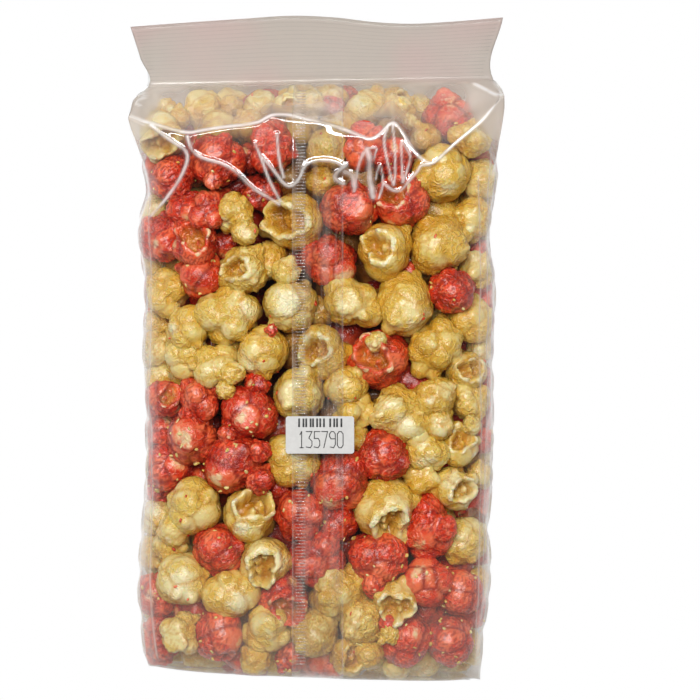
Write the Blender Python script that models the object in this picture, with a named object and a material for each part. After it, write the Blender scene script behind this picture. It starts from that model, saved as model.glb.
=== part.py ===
"""Clear gusseted film bag, filled with glazed popcorn and sealed, lying on its back.

Metres, +Z up. X runs across the bag, +Y points to the crimped header, and the seam and the
date label face up. Z = 0 is the surface that the bag lies on, and the origin is the middle of
its footprint. The film and its filling are one solid: the kernels show as the soft bumps that
they press into the film.
"""

import math

import bmesh
import bpy
import numpy as np
from mathutils import Matrix

MM = 0.001

# Driving sizes, in millimetres
BAG_LENGTH = 222.0
BAG_THICKNESS = 58.0
HEADER_HALF_WIDTH = 62.5
HEADER_HEIGHT = 22.0
FILM_SLAB = 0.8
SEAM_LEFT, SEAM_RIGHT = -7.5, 9.0
SEAM_RISE = 0.5
LABEL_SIZE = (22.0, 12.0)
LABEL_CENTRE = (1.5, -28.5)
LABEL_THICKNESS = 0.4
LABEL_CORNER = 0.8
CLEAR_GAP = 0.3

# Stations along the bag, in millimetres
TOP_EDGE = BAG_LENGTH / 2 - 2.0
NECK = TOP_EDGE - HEADER_HEIGHT + 1.5
SHOULDER = 58.0
BOTTOM_EDGE = -BAG_LENGTH / 2 + 2.4
BOTTOM_ROUND = 9.0
GUSSET_DEPTH = 15.0
GUSSET_FOLD = 0.85
GUSSET_FLARE = 0.04
HEADER_LEVEL = 27.0
HEADER_DROOP = 3.0
TAPER_POWERS = (2.2, 0.8)
ROUND_FULLNESS = 0.94
BODY_SQUARENESS, NECK_SQUARENESS = 3.8, 8.0
END_TILT, TILT_PER_MM = -0.4, 0.0187
CRIMP_PITCH = 2.1
CRIMP_DEPTH = 0.15
CRIMP_COUNT = 8

# The bottom seal, folded flat against the end panel: half sizes, level and how proud it lies
FOLDED_SEAL = (51.0, 8.0)
FOLDED_SEAL_LEVEL = 24.0
FOLDED_SEAL_RISE = 0.9
FOLDED_SEAL_EDGE = 0.5
END_BULGE = 1.2

# Each edge as (station along the bag, distance from its middle line), bottom to top
LEFT_EDGE = (
    (-108.6, 56.8), (-94.5, 58.3), (-82.8, 59.3), (-57.8, 57.8), (-44.5, 56.8), (-4.5, 57.6),
    (18.8, 57.2), (43.0, 58.8), (52.5, 56.4), (65.5, 59.5), (78.0, 62.0), (84.5, 60.4),
    (88.5, 56.2), (98.0, 59.0), (109.0, 62.5),
)
RIGHT_EDGE = (
    (-108.6, 55.8), (-97.8, 55.2), (-84.5, 57.0), (-69.5, 58.2), (-62.0, 57.5), (-44.5, 58.5),
    (-24.5, 59.0), (-1.2, 58.8), (24.0, 59.2), (31.0, 57.9), (50.5, 59.5), (65.5, 61.2),
    (79.0, 62.0), (84.5, 61.4), (88.5, 59.0), (109.0, 62.5),
)
# How far the cut top edge waves from TOP_EDGE, across the bag
TOP_WAVE = (
    (-62.5, -1.4), (-40.0, 0.4), (-10.0, 2.0), (10.0, 0.8), (26.0, -1.2), (45.0, -0.6),
    (62.5, 0.8),
)

# Mesh density: samples on a quarter of a ring's curve, points on each stretch of a ring, and
# rings on each stretch of the bag
QUARTER = 360
SEAM_POINTS, FRONT_POINTS, BACK_POINTS = 3, 14, 15
BODY_RINGS, TAPER_RINGS, HEADER_RINGS = 32, 11, 3

# The filling
KERNEL_COUNT = 215
KERNEL_DIAMETER, KERNEL_SPREAD = 19.0, 2.4
KERNEL_SMALLEST, KERNEL_LARGEST = 13.0, 24.0
PACKING_ROUNDS, PUSH_SHARE = 260, 0.32
KERNEL_SEED = 11
SAG_SHARE, SAG_MOST = 0.55, 2.2
LABEL_MARGIN, LABEL_FADE = 2.0, 6.0

FILM_COLOUR = (0.86, 0.66, 0.45)
LABEL_COLOUR = (0.86, 0.85, 0.83)


def curve_at(points, where):
    """Height of the smooth curve through points at each place in where."""
    at, value = np.array(points, float).T
    slope = np.gradient(value, at)
    where = np.clip(np.asarray(where, float), at[0], at[-1])
    k = np.clip(np.searchsorted(at, where) - 1, 0, len(at) - 2)
    width = at[k + 1] - at[k]
    t = (where - at[k]) / width
    return (
        value[k] * (1 + 2 * t) * (1 - t) ** 2
        + value[k + 1] * t * t * (3 - 2 * t)
        + slope[k] * width * t * (1 - t) ** 2
        - slope[k + 1] * width * t * t * (1 - t)
    )


def smooth_step(low, high, value):
    """0 below low, 1 above high, smooth between."""
    t = np.clip((np.asarray(value, float) - low) / (high - low), 0.0, 1.0)
    return t * t * (3 - 2 * t)


def half_width(station):
    """Half of the bag's width at a station."""
    return (curve_at(LEFT_EDGE, station) + curve_at(RIGHT_EDGE, station)) / 2


def middle_x(station):
    """The bag's middle line: it wanders a little, as the two edges differ."""
    return (curve_at(RIGHT_EDGE, station) - curve_at(LEFT_EDGE, station)) / 2


def middle_z(station):
    """Height of the middle plane, from the body down to the drooping header."""
    droop = HEADER_DROOP * smooth_step(NECK, TOP_EDGE, station)
    body = BAG_THICKNESS / 2 - 0.4
    return body + (HEADER_LEVEL - body) * smooth_step(SHOULDER, NECK, station) - droop


def half_height(station):
    """Half of the thickness: full in the body, closing to a slab at the neck."""
    full = BAG_THICKNESS / 2 + 0.4
    u = np.clip((np.asarray(station, float) - SHOULDER) / (NECK - SHOULDER), 0.0, 1.0)
    taper = (1 - u ** TAPER_POWERS[0]) ** TAPER_POWERS[1]
    drop = np.clip(BOTTOM_EDGE + BOTTOM_ROUND - station, 0.0, BOTTOM_ROUND)
    rounding = BOTTOM_ROUND - np.sqrt(BOTTOM_ROUND**2 - ROUND_FULLNESS * drop**2)
    return np.maximum(full * taper - rounding, FILM_SLAB / 2)


def squareness(station):
    """Exponent of a ring's rounded box: softly boxy in the body, sharp at the neck and header."""
    sharper = smooth_step(SHOULDER - 8, SHOULDER + 12, station)
    return BODY_SQUARENESS + (NECK_SQUARENESS - BODY_SQUARENESS) * sharper


def gusset(station):
    """How far the sides are tucked in, from 0 to 1: only between the shoulder and the neck."""
    return smooth_step(SHOULDER, 79, station) * (1 - smooth_step(82, NECK, station))


def tilt(station):
    """How far a station's line leans along Y from left to right: the ends aren't square."""
    return END_TILT + TILT_PER_MM * station


def crimp(station):
    """Height of the crimp ribs that the sealing jaws press into both faces of the header."""
    from_edge = (TOP_EDGE - station) / CRIMP_PITCH
    ribbed = 0.4 < from_edge < CRIMP_COUNT + 0.6
    return CRIMP_DEPTH * math.cos(2 * math.pi * from_edge) if ribbed else 0.0


def ring(station):
    """One closed ring of points round the bag, from the seam's left edge over the right side.

    Returns the points and how far the folded seam lifts each of them.
    """
    a = half_width(station) * (1 + GUSSET_FLARE * gusset(station))
    b, p = half_height(station), squareness(station)
    angle = np.linspace(0, 2 * math.pi, 4 * QUARTER + 1)
    cos, sin = np.cos(angle), np.sin(angle)
    x = a * np.sign(cos) * np.abs(cos) ** (2 / p)
    z = b * np.sign(sin) * np.abs(sin) ** (2 / p)
    tuck = np.clip(1 - np.abs(z) / (GUSSET_FOLD * b), 0, 1) * (np.abs(x) > a / 2)
    x -= np.sign(x) * GUSSET_DEPTH * gusset(station) * tuck

    # From the top middle clockwise, seen from the header: right side, bottom, left side
    order = np.concatenate([
        np.arange(QUARTER, -1, -1), np.arange(4 * QUARTER - 1, QUARTER - 1, -1),
    ])
    x, z = x[order], z[order]
    run = np.concatenate([[0], np.cumsum(np.hypot(np.diff(x), np.diff(z)))])
    first = slice(QUARTER + 1)
    right = np.interp(SEAM_RIGHT, x[first], run[first])
    left = run[-1] - np.interp(-SEAM_LEFT, x[first], run[first])
    side_right, bottom, side_left = run[[QUARTER, 2 * QUARTER, 3 * QUARTER]]
    step = 0.5
    seam = np.linspace(left - run[-1], right, SEAM_POINTS + 2)
    stops = np.concatenate([
        seam,
        np.linspace(right + step, side_right, FRONT_POINTS, endpoint=False),
        np.linspace(side_right, bottom, BACK_POINTS, endpoint=False),
        np.linspace(bottom, side_left, BACK_POINTS, endpoint=False),
        np.linspace(side_left, left - step, FRONT_POINTS),
    ])
    stops = np.mod(stops, run[-1])
    px, pz = np.interp(stops, run, x), np.interp(stops, run, z)
    lift = np.zeros(len(stops))
    lift[: len(seam)] = SEAM_RISE * (1 - 0.7 * smooth_step(NECK - 3, NECK, station))
    pz += np.sign(pz) * crimp(station)
    across = px + middle_x(station)
    wave = curve_at(TOP_WAVE, across) * smooth_step(NECK, TOP_EDGE, station)
    along = station + tilt(station) * across / HEADER_HALF_WIDTH + wave
    return np.column_stack([across, along, np.maximum(pz + middle_z(station), 0)]), lift


def settle_kernels():
    """Centres and radii of the round kernels, pushed apart until they fill the bag."""
    rng = np.random.default_rng(KERNEL_SEED)
    size = rng.normal(KERNEL_DIAMETER, KERNEL_SPREAD, KERNEL_COUNT)
    radius = np.clip(size, KERNEL_SMALLEST, KERNEL_LARGEST) / 2
    low, high = BOTTOM_EDGE + radius + 1, NECK - 2 - radius * 0.6
    centre = np.column_stack([
        rng.uniform(-50, 50, KERNEL_COUNT),
        rng.uniform(low, high),
        rng.uniform(12, 46, KERNEL_COUNT),
    ])
    reach = radius[:, None] + radius[None, :]
    for _ in range(PACKING_ROUNDS):
        gap = centre[:, None] - centre[None, :]
        distance = np.linalg.norm(gap, axis=2) + np.eye(KERNEL_COUNT)
        push = np.clip(reach - distance, 0, None) / distance
        np.fill_diagonal(push, 0)
        centre = centre + PUSH_SHARE * (gap * push[:, :, None]).sum(1)
        centre[:, 1] = np.clip(centre[:, 1], low, high)
        keep_inside(centre, radius)
    return centre, radius


def keep_inside(centre, radius):
    """Moves each kernel that would cross the film back inside it."""
    y = centre[:, 1]
    a = np.maximum(half_width(y) - radius, 2.0)
    b = np.maximum(half_height(y) - radius, 0.5)
    p = squareness(y)
    x, z = centre[:, 0] - middle_x(y), centre[:, 2] - middle_z(y)
    out = (np.abs(x) / a) ** p + (np.abs(z) / b) ** p
    shrink = np.maximum(out, 1.0) ** (-1 / p)
    centre[:, 0] = x * shrink + middle_x(y)
    centre[:, 2] = z * shrink + middle_z(y)


def sag_of(points):
    """How far the film sinks between the kernels at each point."""
    centre, radius = settle_kernels()
    nearest = np.full(len(points), 99.0)
    for c, r in zip(centre, radius):
        nearest = np.minimum(nearest, np.linalg.norm(points - c, axis=1) - r)
    sag = np.clip(SAG_SHARE * nearest, -1.0, SAG_MOST)
    x, y, z = points.T
    past_x = np.abs(x - LABEL_CENTRE[0]) - LABEL_SIZE[0] / 2 - LABEL_MARGIN
    past_y = np.abs(y - LABEL_CENTRE[1]) - LABEL_SIZE[1] / 2 - LABEL_MARGIN
    off_label = smooth_step(0, LABEL_FADE, np.maximum(past_x, past_y))
    on_top = smooth_step(BAG_THICKNESS * 0.8, BAG_THICKNESS * 0.9, z)
    sag = sag * (1 - on_top * (1 - off_label))
    sag = sag * (1 - smooth_step(NECK - 6, NECK - 1, y))
    return sag * smooth_step(0.05, 3.0, z)


def new_material(name, colour, roughness):
    """A plain Principled material."""
    material = bpy.data.materials.new(name)
    material.use_nodes = True
    shader = material.node_tree.nodes["Principled BSDF"]
    shader.inputs["Base Color"].default_value = (*colour, 1)
    shader.inputs["Roughness"].default_value = roughness
    return material


def finish_object(name, mesh, material, sharp_degrees):
    """Links a mesh to the scene as a named object, shaded smooth up to an angle."""
    mesh.materials.append(material)
    mesh.shade_smooth()
    mesh.set_sharp_from_angle(angle=math.radians(sharp_degrees))
    made = bpy.data.objects.new(name, mesh)
    bpy.context.scene.collection.objects.link(made)
    return made


def stations():
    """Where the rings lie along the bag, close together where it curves most."""
    rounding = BOTTOM_EDGE + BOTTOM_ROUND * np.array([0.0, 0.08, 0.25, 0.55])
    body = np.linspace(BOTTOM_EDGE + BOTTOM_ROUND, SHOULDER, BODY_RINGS, endpoint=False)
    taper = np.linspace(SHOULDER, NECK, TAPER_RINGS, endpoint=False)
    crimps = TOP_EDGE - CRIMP_PITCH * np.arange(2 * CRIMP_COUNT + 1, -1, -1) / 2
    header = np.linspace(NECK, crimps[0], HEADER_RINGS, endpoint=False)
    return np.concatenate([rounding, body, taper, header, crimps])


def end_panel(outer):
    """Rings that close the bottom end, from the face of the folded seal out to the outer ring."""
    def on_seal(inset, rise):
        half_x, half_z = FOLDED_SEAL[0] - inset, FOLDED_SEAL[1] - inset
        x = np.clip(outer[:, 0], -half_x, half_x)
        z = FOLDED_SEAL_LEVEL + np.clip(outer[:, 2] - FOLDED_SEAL_LEVEL, -half_z, half_z)
        y = BOTTOM_EDGE + tilt(BOTTOM_EDGE) * x / HEADER_HALF_WIDTH - END_BULGE - rise
        return np.column_stack([x, y, z])

    foot = on_seal(0.0, 0.0)
    between = (outer + foot) / 2
    between[:, 1] -= END_BULGE * 0.3
    return [
        on_seal(FOLDED_SEAL_EDGE, FOLDED_SEAL_RISE),
        on_seal(0.0, FOLDED_SEAL_RISE - FOLDED_SEAL_EDGE),
        foot,
        between,
    ]


def fitted(points):
    """The bag's points with its footprint centred on the origin and its length exact."""
    low, high = points.min(0), points.max(0)
    points = points - [(low[0] + high[0]) / 2, (low[1] + high[1]) / 2, 0]
    points[:, 1] *= BAG_LENGTH / (high[1] - low[1])
    return points


def build_bag():
    """The filled and sealed bag as one closed solid."""
    along_bag, lifts = zip(*(ring(station) for station in stations()))
    closing = end_panel(along_bag[0])
    rings = [*closing, *along_bag]
    count = len(rings[0])
    grid = bmesh.new()
    rows = [[grid.verts.new(point) for point in points] for points in rings]
    for lower, upper in zip(rows, rows[1:]):
        for i in range(count):
            j = (i + 1) % count
            grid.faces.new((lower[i], lower[j], upper[j], upper[i]))
    grid.faces.new(rows[0])
    grid.faces.new(list(reversed(rows[-1])))
    bmesh.ops.recalc_face_normals(grid, faces=grid.faces)
    bmesh.ops.triangulate(grid, faces=[f for f in grid.faces if len(f.verts) > 4])

    points = np.array([v.co for v in grid.verts])
    normals = np.array([v.normal for v in grid.verts])
    sag = sag_of(points)
    sag[: len(closing) * count] = 0
    moved = points - normals * sag[:, None]
    moved[len(closing) * count:, 2] += np.concatenate(lifts)
    moved[:, 2] = np.maximum(moved[:, 2], 0)
    for vertex, place in zip(grid.verts, fitted(moved)):
        vertex.co = place
    bmesh.ops.transform(grid, matrix=Matrix.Scale(MM, 4), verts=grid.verts)
    mesh = bpy.data.meshes.new("bag")
    grid.to_mesh(mesh)
    grid.free()
    return finish_object("bag", mesh, new_material("bag_film", FILM_COLOUR, 0.2), 50)


def build_label():
    """The small date label, a flat plate just clear of the film over the seam."""
    plate = bmesh.new()
    bmesh.ops.create_cube(plate, size=1.0)
    bmesh.ops.scale(plate, vec=(*LABEL_SIZE, LABEL_THICKNESS), verts=plate.verts)
    upright = [e for e in plate.edges if abs(e.verts[0].co.z - e.verts[1].co.z) > 0.1]
    bmesh.ops.bevel(
        plate, geom=upright, offset=LABEL_CORNER, segments=3, profile=0.5, affect="EDGES"
    )
    level = BAG_THICKNESS + SEAM_RISE + CLEAR_GAP + LABEL_THICKNESS / 2
    bmesh.ops.translate(plate, vec=(*LABEL_CENTRE, level), verts=plate.verts)
    bmesh.ops.transform(plate, matrix=Matrix.Scale(MM, 4), verts=plate.verts)
    mesh = bpy.data.meshes.new("date_label")
    plate.to_mesh(mesh)
    plate.free()
    return finish_object("date_label", mesh, new_material("label_paper", LABEL_COLOUR, 0.6), 30)


def main():
    """Clears the scene and builds each piece."""
    for old in list(bpy.data.objects):
        bpy.data.objects.remove(old)
    build_bag()
    build_label()


main()
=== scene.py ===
"""A clear gusseted film bag of glazed popcorn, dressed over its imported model.

The bag lies on its back with the folded seam and the date label up. Lengths in the classes are
in millimetres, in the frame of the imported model: X across the bag, Y towards the crimped
header, Z up. The finished meshes are in metres.
"""

import logging
import math
from dataclasses import dataclass, field
from enum import Enum
from typing import Iterable, Sequence

import bmesh
import bpy
import numpy as np
from bpy.types import Material, Mesh, Node, NodeSocket, NodeTree, Object
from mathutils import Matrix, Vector


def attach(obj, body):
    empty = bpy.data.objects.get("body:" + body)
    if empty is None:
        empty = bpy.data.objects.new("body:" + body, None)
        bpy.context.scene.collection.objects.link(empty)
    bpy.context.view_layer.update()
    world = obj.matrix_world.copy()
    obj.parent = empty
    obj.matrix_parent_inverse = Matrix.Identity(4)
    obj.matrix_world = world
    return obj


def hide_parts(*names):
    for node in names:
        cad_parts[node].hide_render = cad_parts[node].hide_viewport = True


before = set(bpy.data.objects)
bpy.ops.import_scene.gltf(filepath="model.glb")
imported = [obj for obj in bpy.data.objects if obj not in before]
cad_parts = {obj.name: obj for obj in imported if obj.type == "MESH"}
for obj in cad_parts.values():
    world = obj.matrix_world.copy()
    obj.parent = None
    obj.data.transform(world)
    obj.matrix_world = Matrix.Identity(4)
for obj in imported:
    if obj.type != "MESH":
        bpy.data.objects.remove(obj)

MM = 0.001
WHITE = (1.0, 1.0, 1.0, 1.0)
TURN = 2 * math.pi

Array = np.ndarray
Chance = np.random.Generator
log = logging.getLogger("popcorn_bag")

# Places that more than one piece needs: the label's middle, the bottom seal's half width and half
# height, and the height of its middle, in millimetres
LABEL_CENTRE = (1.5, -28.5)
SEAL_HALF = (51.0, 8.0)
SEAL_LEVEL = 24.0


class Coat(Enum):
    """The two glazes of the popcorn."""

    RED = "red"
    GOLD = "gold"


class Form(Enum):
    """How a kernel has popped."""

    BALL = "balls"
    CUP = "cups"
    LOBED = "lobed"


@dataclass(frozen=True)
class PhotoView:
    """How a place that was read off the photo, in pixels, becomes a place on the bag.

    Attributes:
        scale: Pixels to a millimetre at the bag's middle level.
        middle_level: Height of that level.
        camera_above: Height of the camera above that level.
        centre: The photo's middle, in pixels across and down alike.
        bag_centre: The pixel that shows the middle of the bag, at its middle level.
        film_level: Height of the film in which the creases near the neck lie.
        kernel_level: Height of a kernel that touches the film of the shown face.
    """

    scale: float = 3.0
    middle_level: float = 29.0
    camera_above: float = 850.0
    centre: float = 350.0
    bag_centre: tuple[float, float] = (316.5, 346.5)
    film_level: float = 54.0
    kernel_level: float = 50.0

    def scale_at(self, level: float) -> float:
        """Pixels to a millimetre at a height."""
        return self.scale * self.camera_above / (self.camera_above + self.middle_level - level)

    def place(self, across: float, down: float, level: float) -> tuple[float, float]:
        """Place of a pixel at a height, across and along the bag, to a tenth of a millimetre."""
        scale = self.scale_at(level)
        x = (self.centre - self.bag_centre[0]) / self.scale + (across - self.centre) / scale
        y = (self.bag_centre[1] - self.centre) / self.scale - (down - self.centre) / scale
        return round(x, 1), round(y, 1)

    def path(self, *pixels: tuple[int, int]) -> tuple[tuple[float, float], ...]:
        """Line in the film near the neck, through pixels across and down."""
        return tuple(self.place(*pixel, self.film_level) for pixel in pixels)

    def kernel(
        self, across: float, down: float, diameter: float, depth: float, heading: float = 0.0
    ) -> tuple[float, ...]:
        """Place, diameter, depth and heading of a kernel of the shown face.

        Args:
            across: Pixel of its middle, across.
            down: Pixel of its middle, down.
            diameter: Its diameter in pixels.
            depth: How far below the film it lies, in millimetres.
            heading: The heading that its opening faces, in degrees.

        Returns:
            The same values, in millimetres and degrees.
        """
        level = self.kernel_level - depth
        width = round(diameter / self.scale_at(level), 1)
        return (*self.place(across, down, level), width, depth, heading)


PHOTO = PhotoView()

# The kernels that lie against the shown face, by coat and form, as read off the photo:
# pixel across, pixel down and diameter in pixels, then how far below the film they lie, in
# millimetres. A cup adds the heading its opening faces.
FACE_KERNELS = {
    (Coat.GOLD, Form.CUP): (
        (160, 135, 46, 2, -85), (286, 104, 28, 6, 0), (293, 220, 62, 0, 180), (413, 93, 34, 8, 0),
        (386, 252, 58, 0, 150), (244, 269, 50, 0, 180), (321, 352, 54, 0, 170),
        (466, 375, 46, 3, 40), (249, 516, 60, 0, 60), (458, 446, 42, 3, 60), (389, 511, 62, 0, -80),
        (455, 489, 46, 2, 0), (265, 562, 54, 0, -110), (396, 601, 46, 0, -90), (352, 655, 38, 4, 0),
    ),
    (Coat.GOLD, Form.BALL): (
        (165, 108, 22, 6), (177, 116, 24, 6), (203, 108, 40, 5), (230, 106, 28, 8),
        (258, 107, 42, 5), (308, 102, 34, 6), (246, 126, 34, 7), (300, 130, 36, 7),
        (150, 208, 34, 8), (150, 262, 30, 9), (244, 232, 28, 0), (371, 111, 46, 3),
        (422, 108, 34, 8), (410, 120, 18, 5), (425, 138, 36, 5), (444, 171, 60, 0),
        (484, 180, 38, 6), (329, 148, 42, 3), (322, 183, 36, 6), (472, 217, 42, 4),
        (440, 245, 58, 0), (268, 262, 40, 4), (286, 271, 28, 1), (290, 306, 56, 0),
        (155, 322, 32, 9), (188, 330, 46, 2), (188, 355, 44, 3), (155, 350, 38, 7),
        (163, 378, 36, 9), (232, 373, 24, 0), (226, 390, 20, 0), (263, 353, 52, 0),
        (298, 394, 54, 0), (322, 310, 36, 7), (404, 305, 60, 0), (473, 320, 46, 4),
        (347, 387, 44, 0), (483, 348, 30, 8), (292, 461, 54, 0), (192, 507, 58, 1),
        (152, 520, 42, 6), (174, 530, 34, 4), (150, 556, 36, 6), (434, 400, 44, 0),
        (437, 424, 32, 1), (472, 424, 20, 1), (480, 476, 28, 7), (353, 436, 38, 4),
        (463, 541, 48, 3), (183, 581, 54, 1), (231, 596, 54, 0), (316, 631, 50, 2),
        (256, 657, 34, 5), (168, 545, 34, 6), (204, 588, 32, 8), (361, 622, 48, 1),
        (482, 585, 28, 7), (367, 652, 30, 4), (398, 664, 30, 8),
    ),
    (Coat.GOLD, Form.LOBED): (
        (172, 122, 26, 8), (235, 214, 40, 1), (399, 107, 30, 4), (470, 138, 42, 3),
        (478, 270, 42, 5), (230, 314, 60, 0), (167, 292, 50, 5), (219, 370, 50, 2),
        (350, 303, 52, 0), (376, 342, 20, 0), (436, 350, 56, 1), (353, 410, 42, 2),
        (397, 414, 56, 0), (470, 400, 40, 3), (424, 450, 42, 1), (420, 480, 36, 4),
        (181, 635, 40, 1), (268, 632, 48, 2), (340, 592, 56, 1), (389, 634, 20, 0),
        (474, 651, 36, 4),
    ),
    (Coat.RED, Form.BALL): (
        (216, 159, 56, 0), (213, 180, 20, 0), (192, 170, 34, 8), (170, 178, 44, 2),
        (245, 158, 34, 5), (262, 196, 42, 8), (203, 273, 50, 2), (226, 203, 30, 9),
        (225, 245, 30, 9), (331, 108, 30, 7), (352, 93, 28, 9), (461, 114, 54, 1),
        (391, 156, 44, 4), (349, 210, 56, 0), (486, 250, 26, 9), (300, 262, 26, 10),
        (258, 384, 26, 3), (452, 292, 46, 1), (409, 275, 24, 9), (484, 382, 28, 9),
        (155, 437, 40, 5), (190, 440, 56, 0), (249, 417, 56, 0), (233, 462, 62, 0),
        (258, 452, 24, 0), (258, 479, 30, 1), (228, 434, 20, 1), (167, 468, 48, 4),
        (152, 490, 32, 6), (301, 515, 52, 1), (480, 440, 30, 8), (384, 456, 54, 0),
        (340, 480, 58, 0), (337, 523, 44, 5), (485, 552, 34, 8), (221, 550, 54, 1),
        (156, 596, 44, 3), (218, 636, 54, 2), (290, 656, 32, 6), (377, 558, 60, 0),
        (375, 583, 26, 1), (426, 585, 52, 0), (458, 593, 48, 2), (405, 638, 56, 1),
        (449, 641, 52, 0), (475, 613, 38, 4),
    ),
    (Coat.RED, Form.LOBED): (
        (271, 150, 52, 0), (190, 212, 40, 2), (208, 210, 38, 0), (160, 235, 52, 2),
        (364, 148, 46, 2), (272, 330, 12, 0), (332, 260, 52, 1), (200, 400, 48, 2),
        (428, 529, 60, 0), (317, 562, 56, 1), (160, 640, 50, 2),
    ),
    (Coat.RED, Form.CUP): (
        (196, 248, 46, 0, 110), (403, 199, 58, 0, 150), (378, 359, 62, 0, 150),
        (162, 398, 38, 3, 20), (282, 601, 52, 2, -60),
    ),
}

# Creases in the film of the shown face, near the neck: height, half width, then the points
# that each runs through, as pixels of the photo or across and along the bag in millimetres
# Each crease is pressed into the film and also painted along its line as a white highlight.
FILM_CREASES = (
    (0.55, 0.9, PHOTO.path(
        (187, 136), (191, 150), (203, 159), (222, 163), (238, 173), (252, 188), (265, 196), (280, 205)
    )),
    (0.45, 0.8, PHOTO.path((255, 143), (262, 160), (270, 183), (281, 202))),
    (0.5, 0.9, PHOTO.path(
        (262, 157), (272, 168), (288, 190), (300, 180), (304, 165), (318, 160), (335, 161), (345, 168)
    )),
    (0.45, 0.8, PHOTO.path((277, 134), (279, 160), (284, 178))),
    (0.4, 1.3, ((9.9, 58.5), (6.8, 56.2), (6.1, 54.2), (9.0, 52.6))),
    (0.4, 1.6, ((9.6, 56.4), (12.2, 55.4), (12.6, 51.6))),
    (0.5, 0.9, ((15.5, 62.6), (13.9, 58.5), (13.0, 54.0), (12.5, 50.0))),
    (0.6, 1.7, ((16.6, 63.6), (17.6, 60.8), (17.4, 56.2), (17.8, 52.8), (18.6, 48.3))),
    (0.4, 0.6, ((16.4, 64.0), (20.1, 64.5), (19.2, 62.1), (18.7, 60.3))),
    (0.4, 0.6, ((19.4, 54.0), (19.9, 56.2), (20.8, 59.8), (21.9, 54.0), (21.4, 50.6), (20.5, 47.8))),
    (0.4, 0.7, ((23.7, 72.2), (21.9, 66.9), (23.0, 60.8), (24.2, 55.1), (25.2, 52.1))),
    (0.4, 0.7, ((25.0, 72.2), (25.8, 63.0), (25.8, 56.2), (25.4, 52.1))),
    (0.4, 0.7, ((28.1, 52.8), (28.0, 60.8), (27.6, 67.4), (30.1, 63.3), (30.9, 61.2),
                (29.8, 57.4), (28.4, 53.0))),
    (0.5, 0.9, ((22.1, 52.6), (24.6, 50.3), (27.6, 49.9), (30.5, 54.0), (33.3, 56.9),
                (33.9, 58.7), (37.0, 58.9))),
    (0.5, 0.9, ((52.4, 87.0), (55.5, 85.2), (58.6, 83.0), (60.4, 82.4))),
    (0.4, 0.6, ((59.2, 87.4), (59.9, 85.0), (61.0, 82.6))),
    (0.5, 0.7, ((-59.4, 83.4), (-57.4, 84.6), (-56.4, 83.0), (-58.6, 82.0), (-59.4, 80.8),
                (-57.6, 80.0))),
    (0.6, 1.0, PHOTO.path((150, 124), (170, 140), (190, 152), (183, 175), (165, 200), (150, 215))),
)

# Painted highlights along creases at the edges of the shown face: half width, then points in millimetres
EDGE_GLINTS = (
    (0.45, ((53.0, 55.0), (54.5, 30.0), (53.2, 4.0), (54.4, -28.0), (54.0, -60.0), (52.6, -99.0))),
    (0.4, ((57.2, 62.0), (56.8, 24.0), (56.6, -20.0), (55.0, -90.0))),
    (0.45, ((-55.2, 52.0), (-54.0, 20.0), (-55.6, -12.0), (-53.6, -44.0), (-54.6, -80.0),
            (-52.0, -101.0))),
    (0.35, ((-57.8, 40.0), (-57.2, 4.0), (-57.0, -50.0))),
)

# The fold that runs across the face below the neck, where the film turns down to the header,
# through pixels of the photo
# The fold is also painted along its line as a white highlight, at full strength.
NECK_FOLD = PHOTO.path(
    (128, 112), (150, 122), (187, 132), (200, 129), (225, 125), (257, 122), (270, 113), (285, 111),
    (300, 116), (325, 122), (345, 128), (358, 134), (370, 139), (378, 135), (388, 124), (394, 121),
    (400, 126), (410, 143), (418, 155), (430, 164), (437, 160), (452, 145), (470, 130), (484, 118),
    (500, 97),
)


def curve_at(points: Sequence[tuple[float, float]], where: Array) -> Array:
    """Height of the smooth curve through points.

    Args:
        points: The points, in order along the curve's first number.
        where: The places to read it at.

    Returns:
        The curve's height at each place.
    """
    at, value = np.array(points, float).T
    slope = np.gradient(value, at)
    where = np.clip(np.asarray(where, float), at[0], at[-1])
    k = np.clip(np.searchsorted(at, where) - 1, 0, len(at) - 2)
    width = at[k + 1] - at[k]
    t = (where - at[k]) / width
    return (
        value[k] * (1 + 2 * t) * (1 - t) ** 2
        + value[k + 1] * t * t * (3 - 2 * t)
        + slope[k] * width * t * (1 - t) ** 2
        - slope[k + 1] * width * t * t * (1 - t)
    )


def smooth_step(low: float, high: float, value: Array) -> Array:
    """0 below low, 1 above high, smooth between."""
    t = np.clip((np.asarray(value, float) - low) / (high - low), 0.0, 1.0)
    return t * t * (3 - 2 * t)


def distance_to_path(points: Array, path: Array) -> Array:
    """How far each point lies from a path of straight runs, in plan.

    Args:
        points: The points, n by 2.
        path: The path's corners, m by 2.

    Returns:
        n distances.
    """
    nearest = np.full(len(points), 1e9)
    for start, end in zip(path, path[1:]):
        run = end - start
        t = np.clip(((points - start) @ run) / (run @ run), 0, 1)
        nearest = np.minimum(nearest, np.linalg.norm(points - start - t[:, None] * run, axis=1))
    return nearest


def rounded_path(corners: Sequence[tuple[float, float]], rounds: int = 2) -> Array:
    """A path with its corners cut off a few times, so that it bends smoothly."""
    path = np.array(corners, float)
    for _ in range(rounds):
        inner = np.stack([path[:-1] * 0.75 + path[1:] * 0.25, path[:-1] * 0.25 + path[1:] * 0.75], 1)
        path = np.vstack([path[:1], inner.reshape(-1, 2), path[-1:]])
    return path


def grid_faces(rows: int, columns: int, wrap: bool, first: int = 0) -> Array:
    """The quads of a grid of points held row by row.

    Args:
        rows: Rows of points.
        columns: Points in each row.
        wrap: Whether the last column joins the first.
        first: The index of the grid's first point.

    Returns:
        The quads, k by 4.
    """
    i = np.arange(rows - 1)[:, None]
    j = np.arange(columns if wrap else columns - 1)[None, :]
    k = (j + 1) % columns
    quads = [i * columns + j, i * columns + k, (i + 1) * columns + k, (i + 1) * columns + j]
    return first + np.stack([np.broadcast_to(q, (rows - 1, j.shape[1])) for q in quads], -1).reshape(-1, 4)


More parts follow.
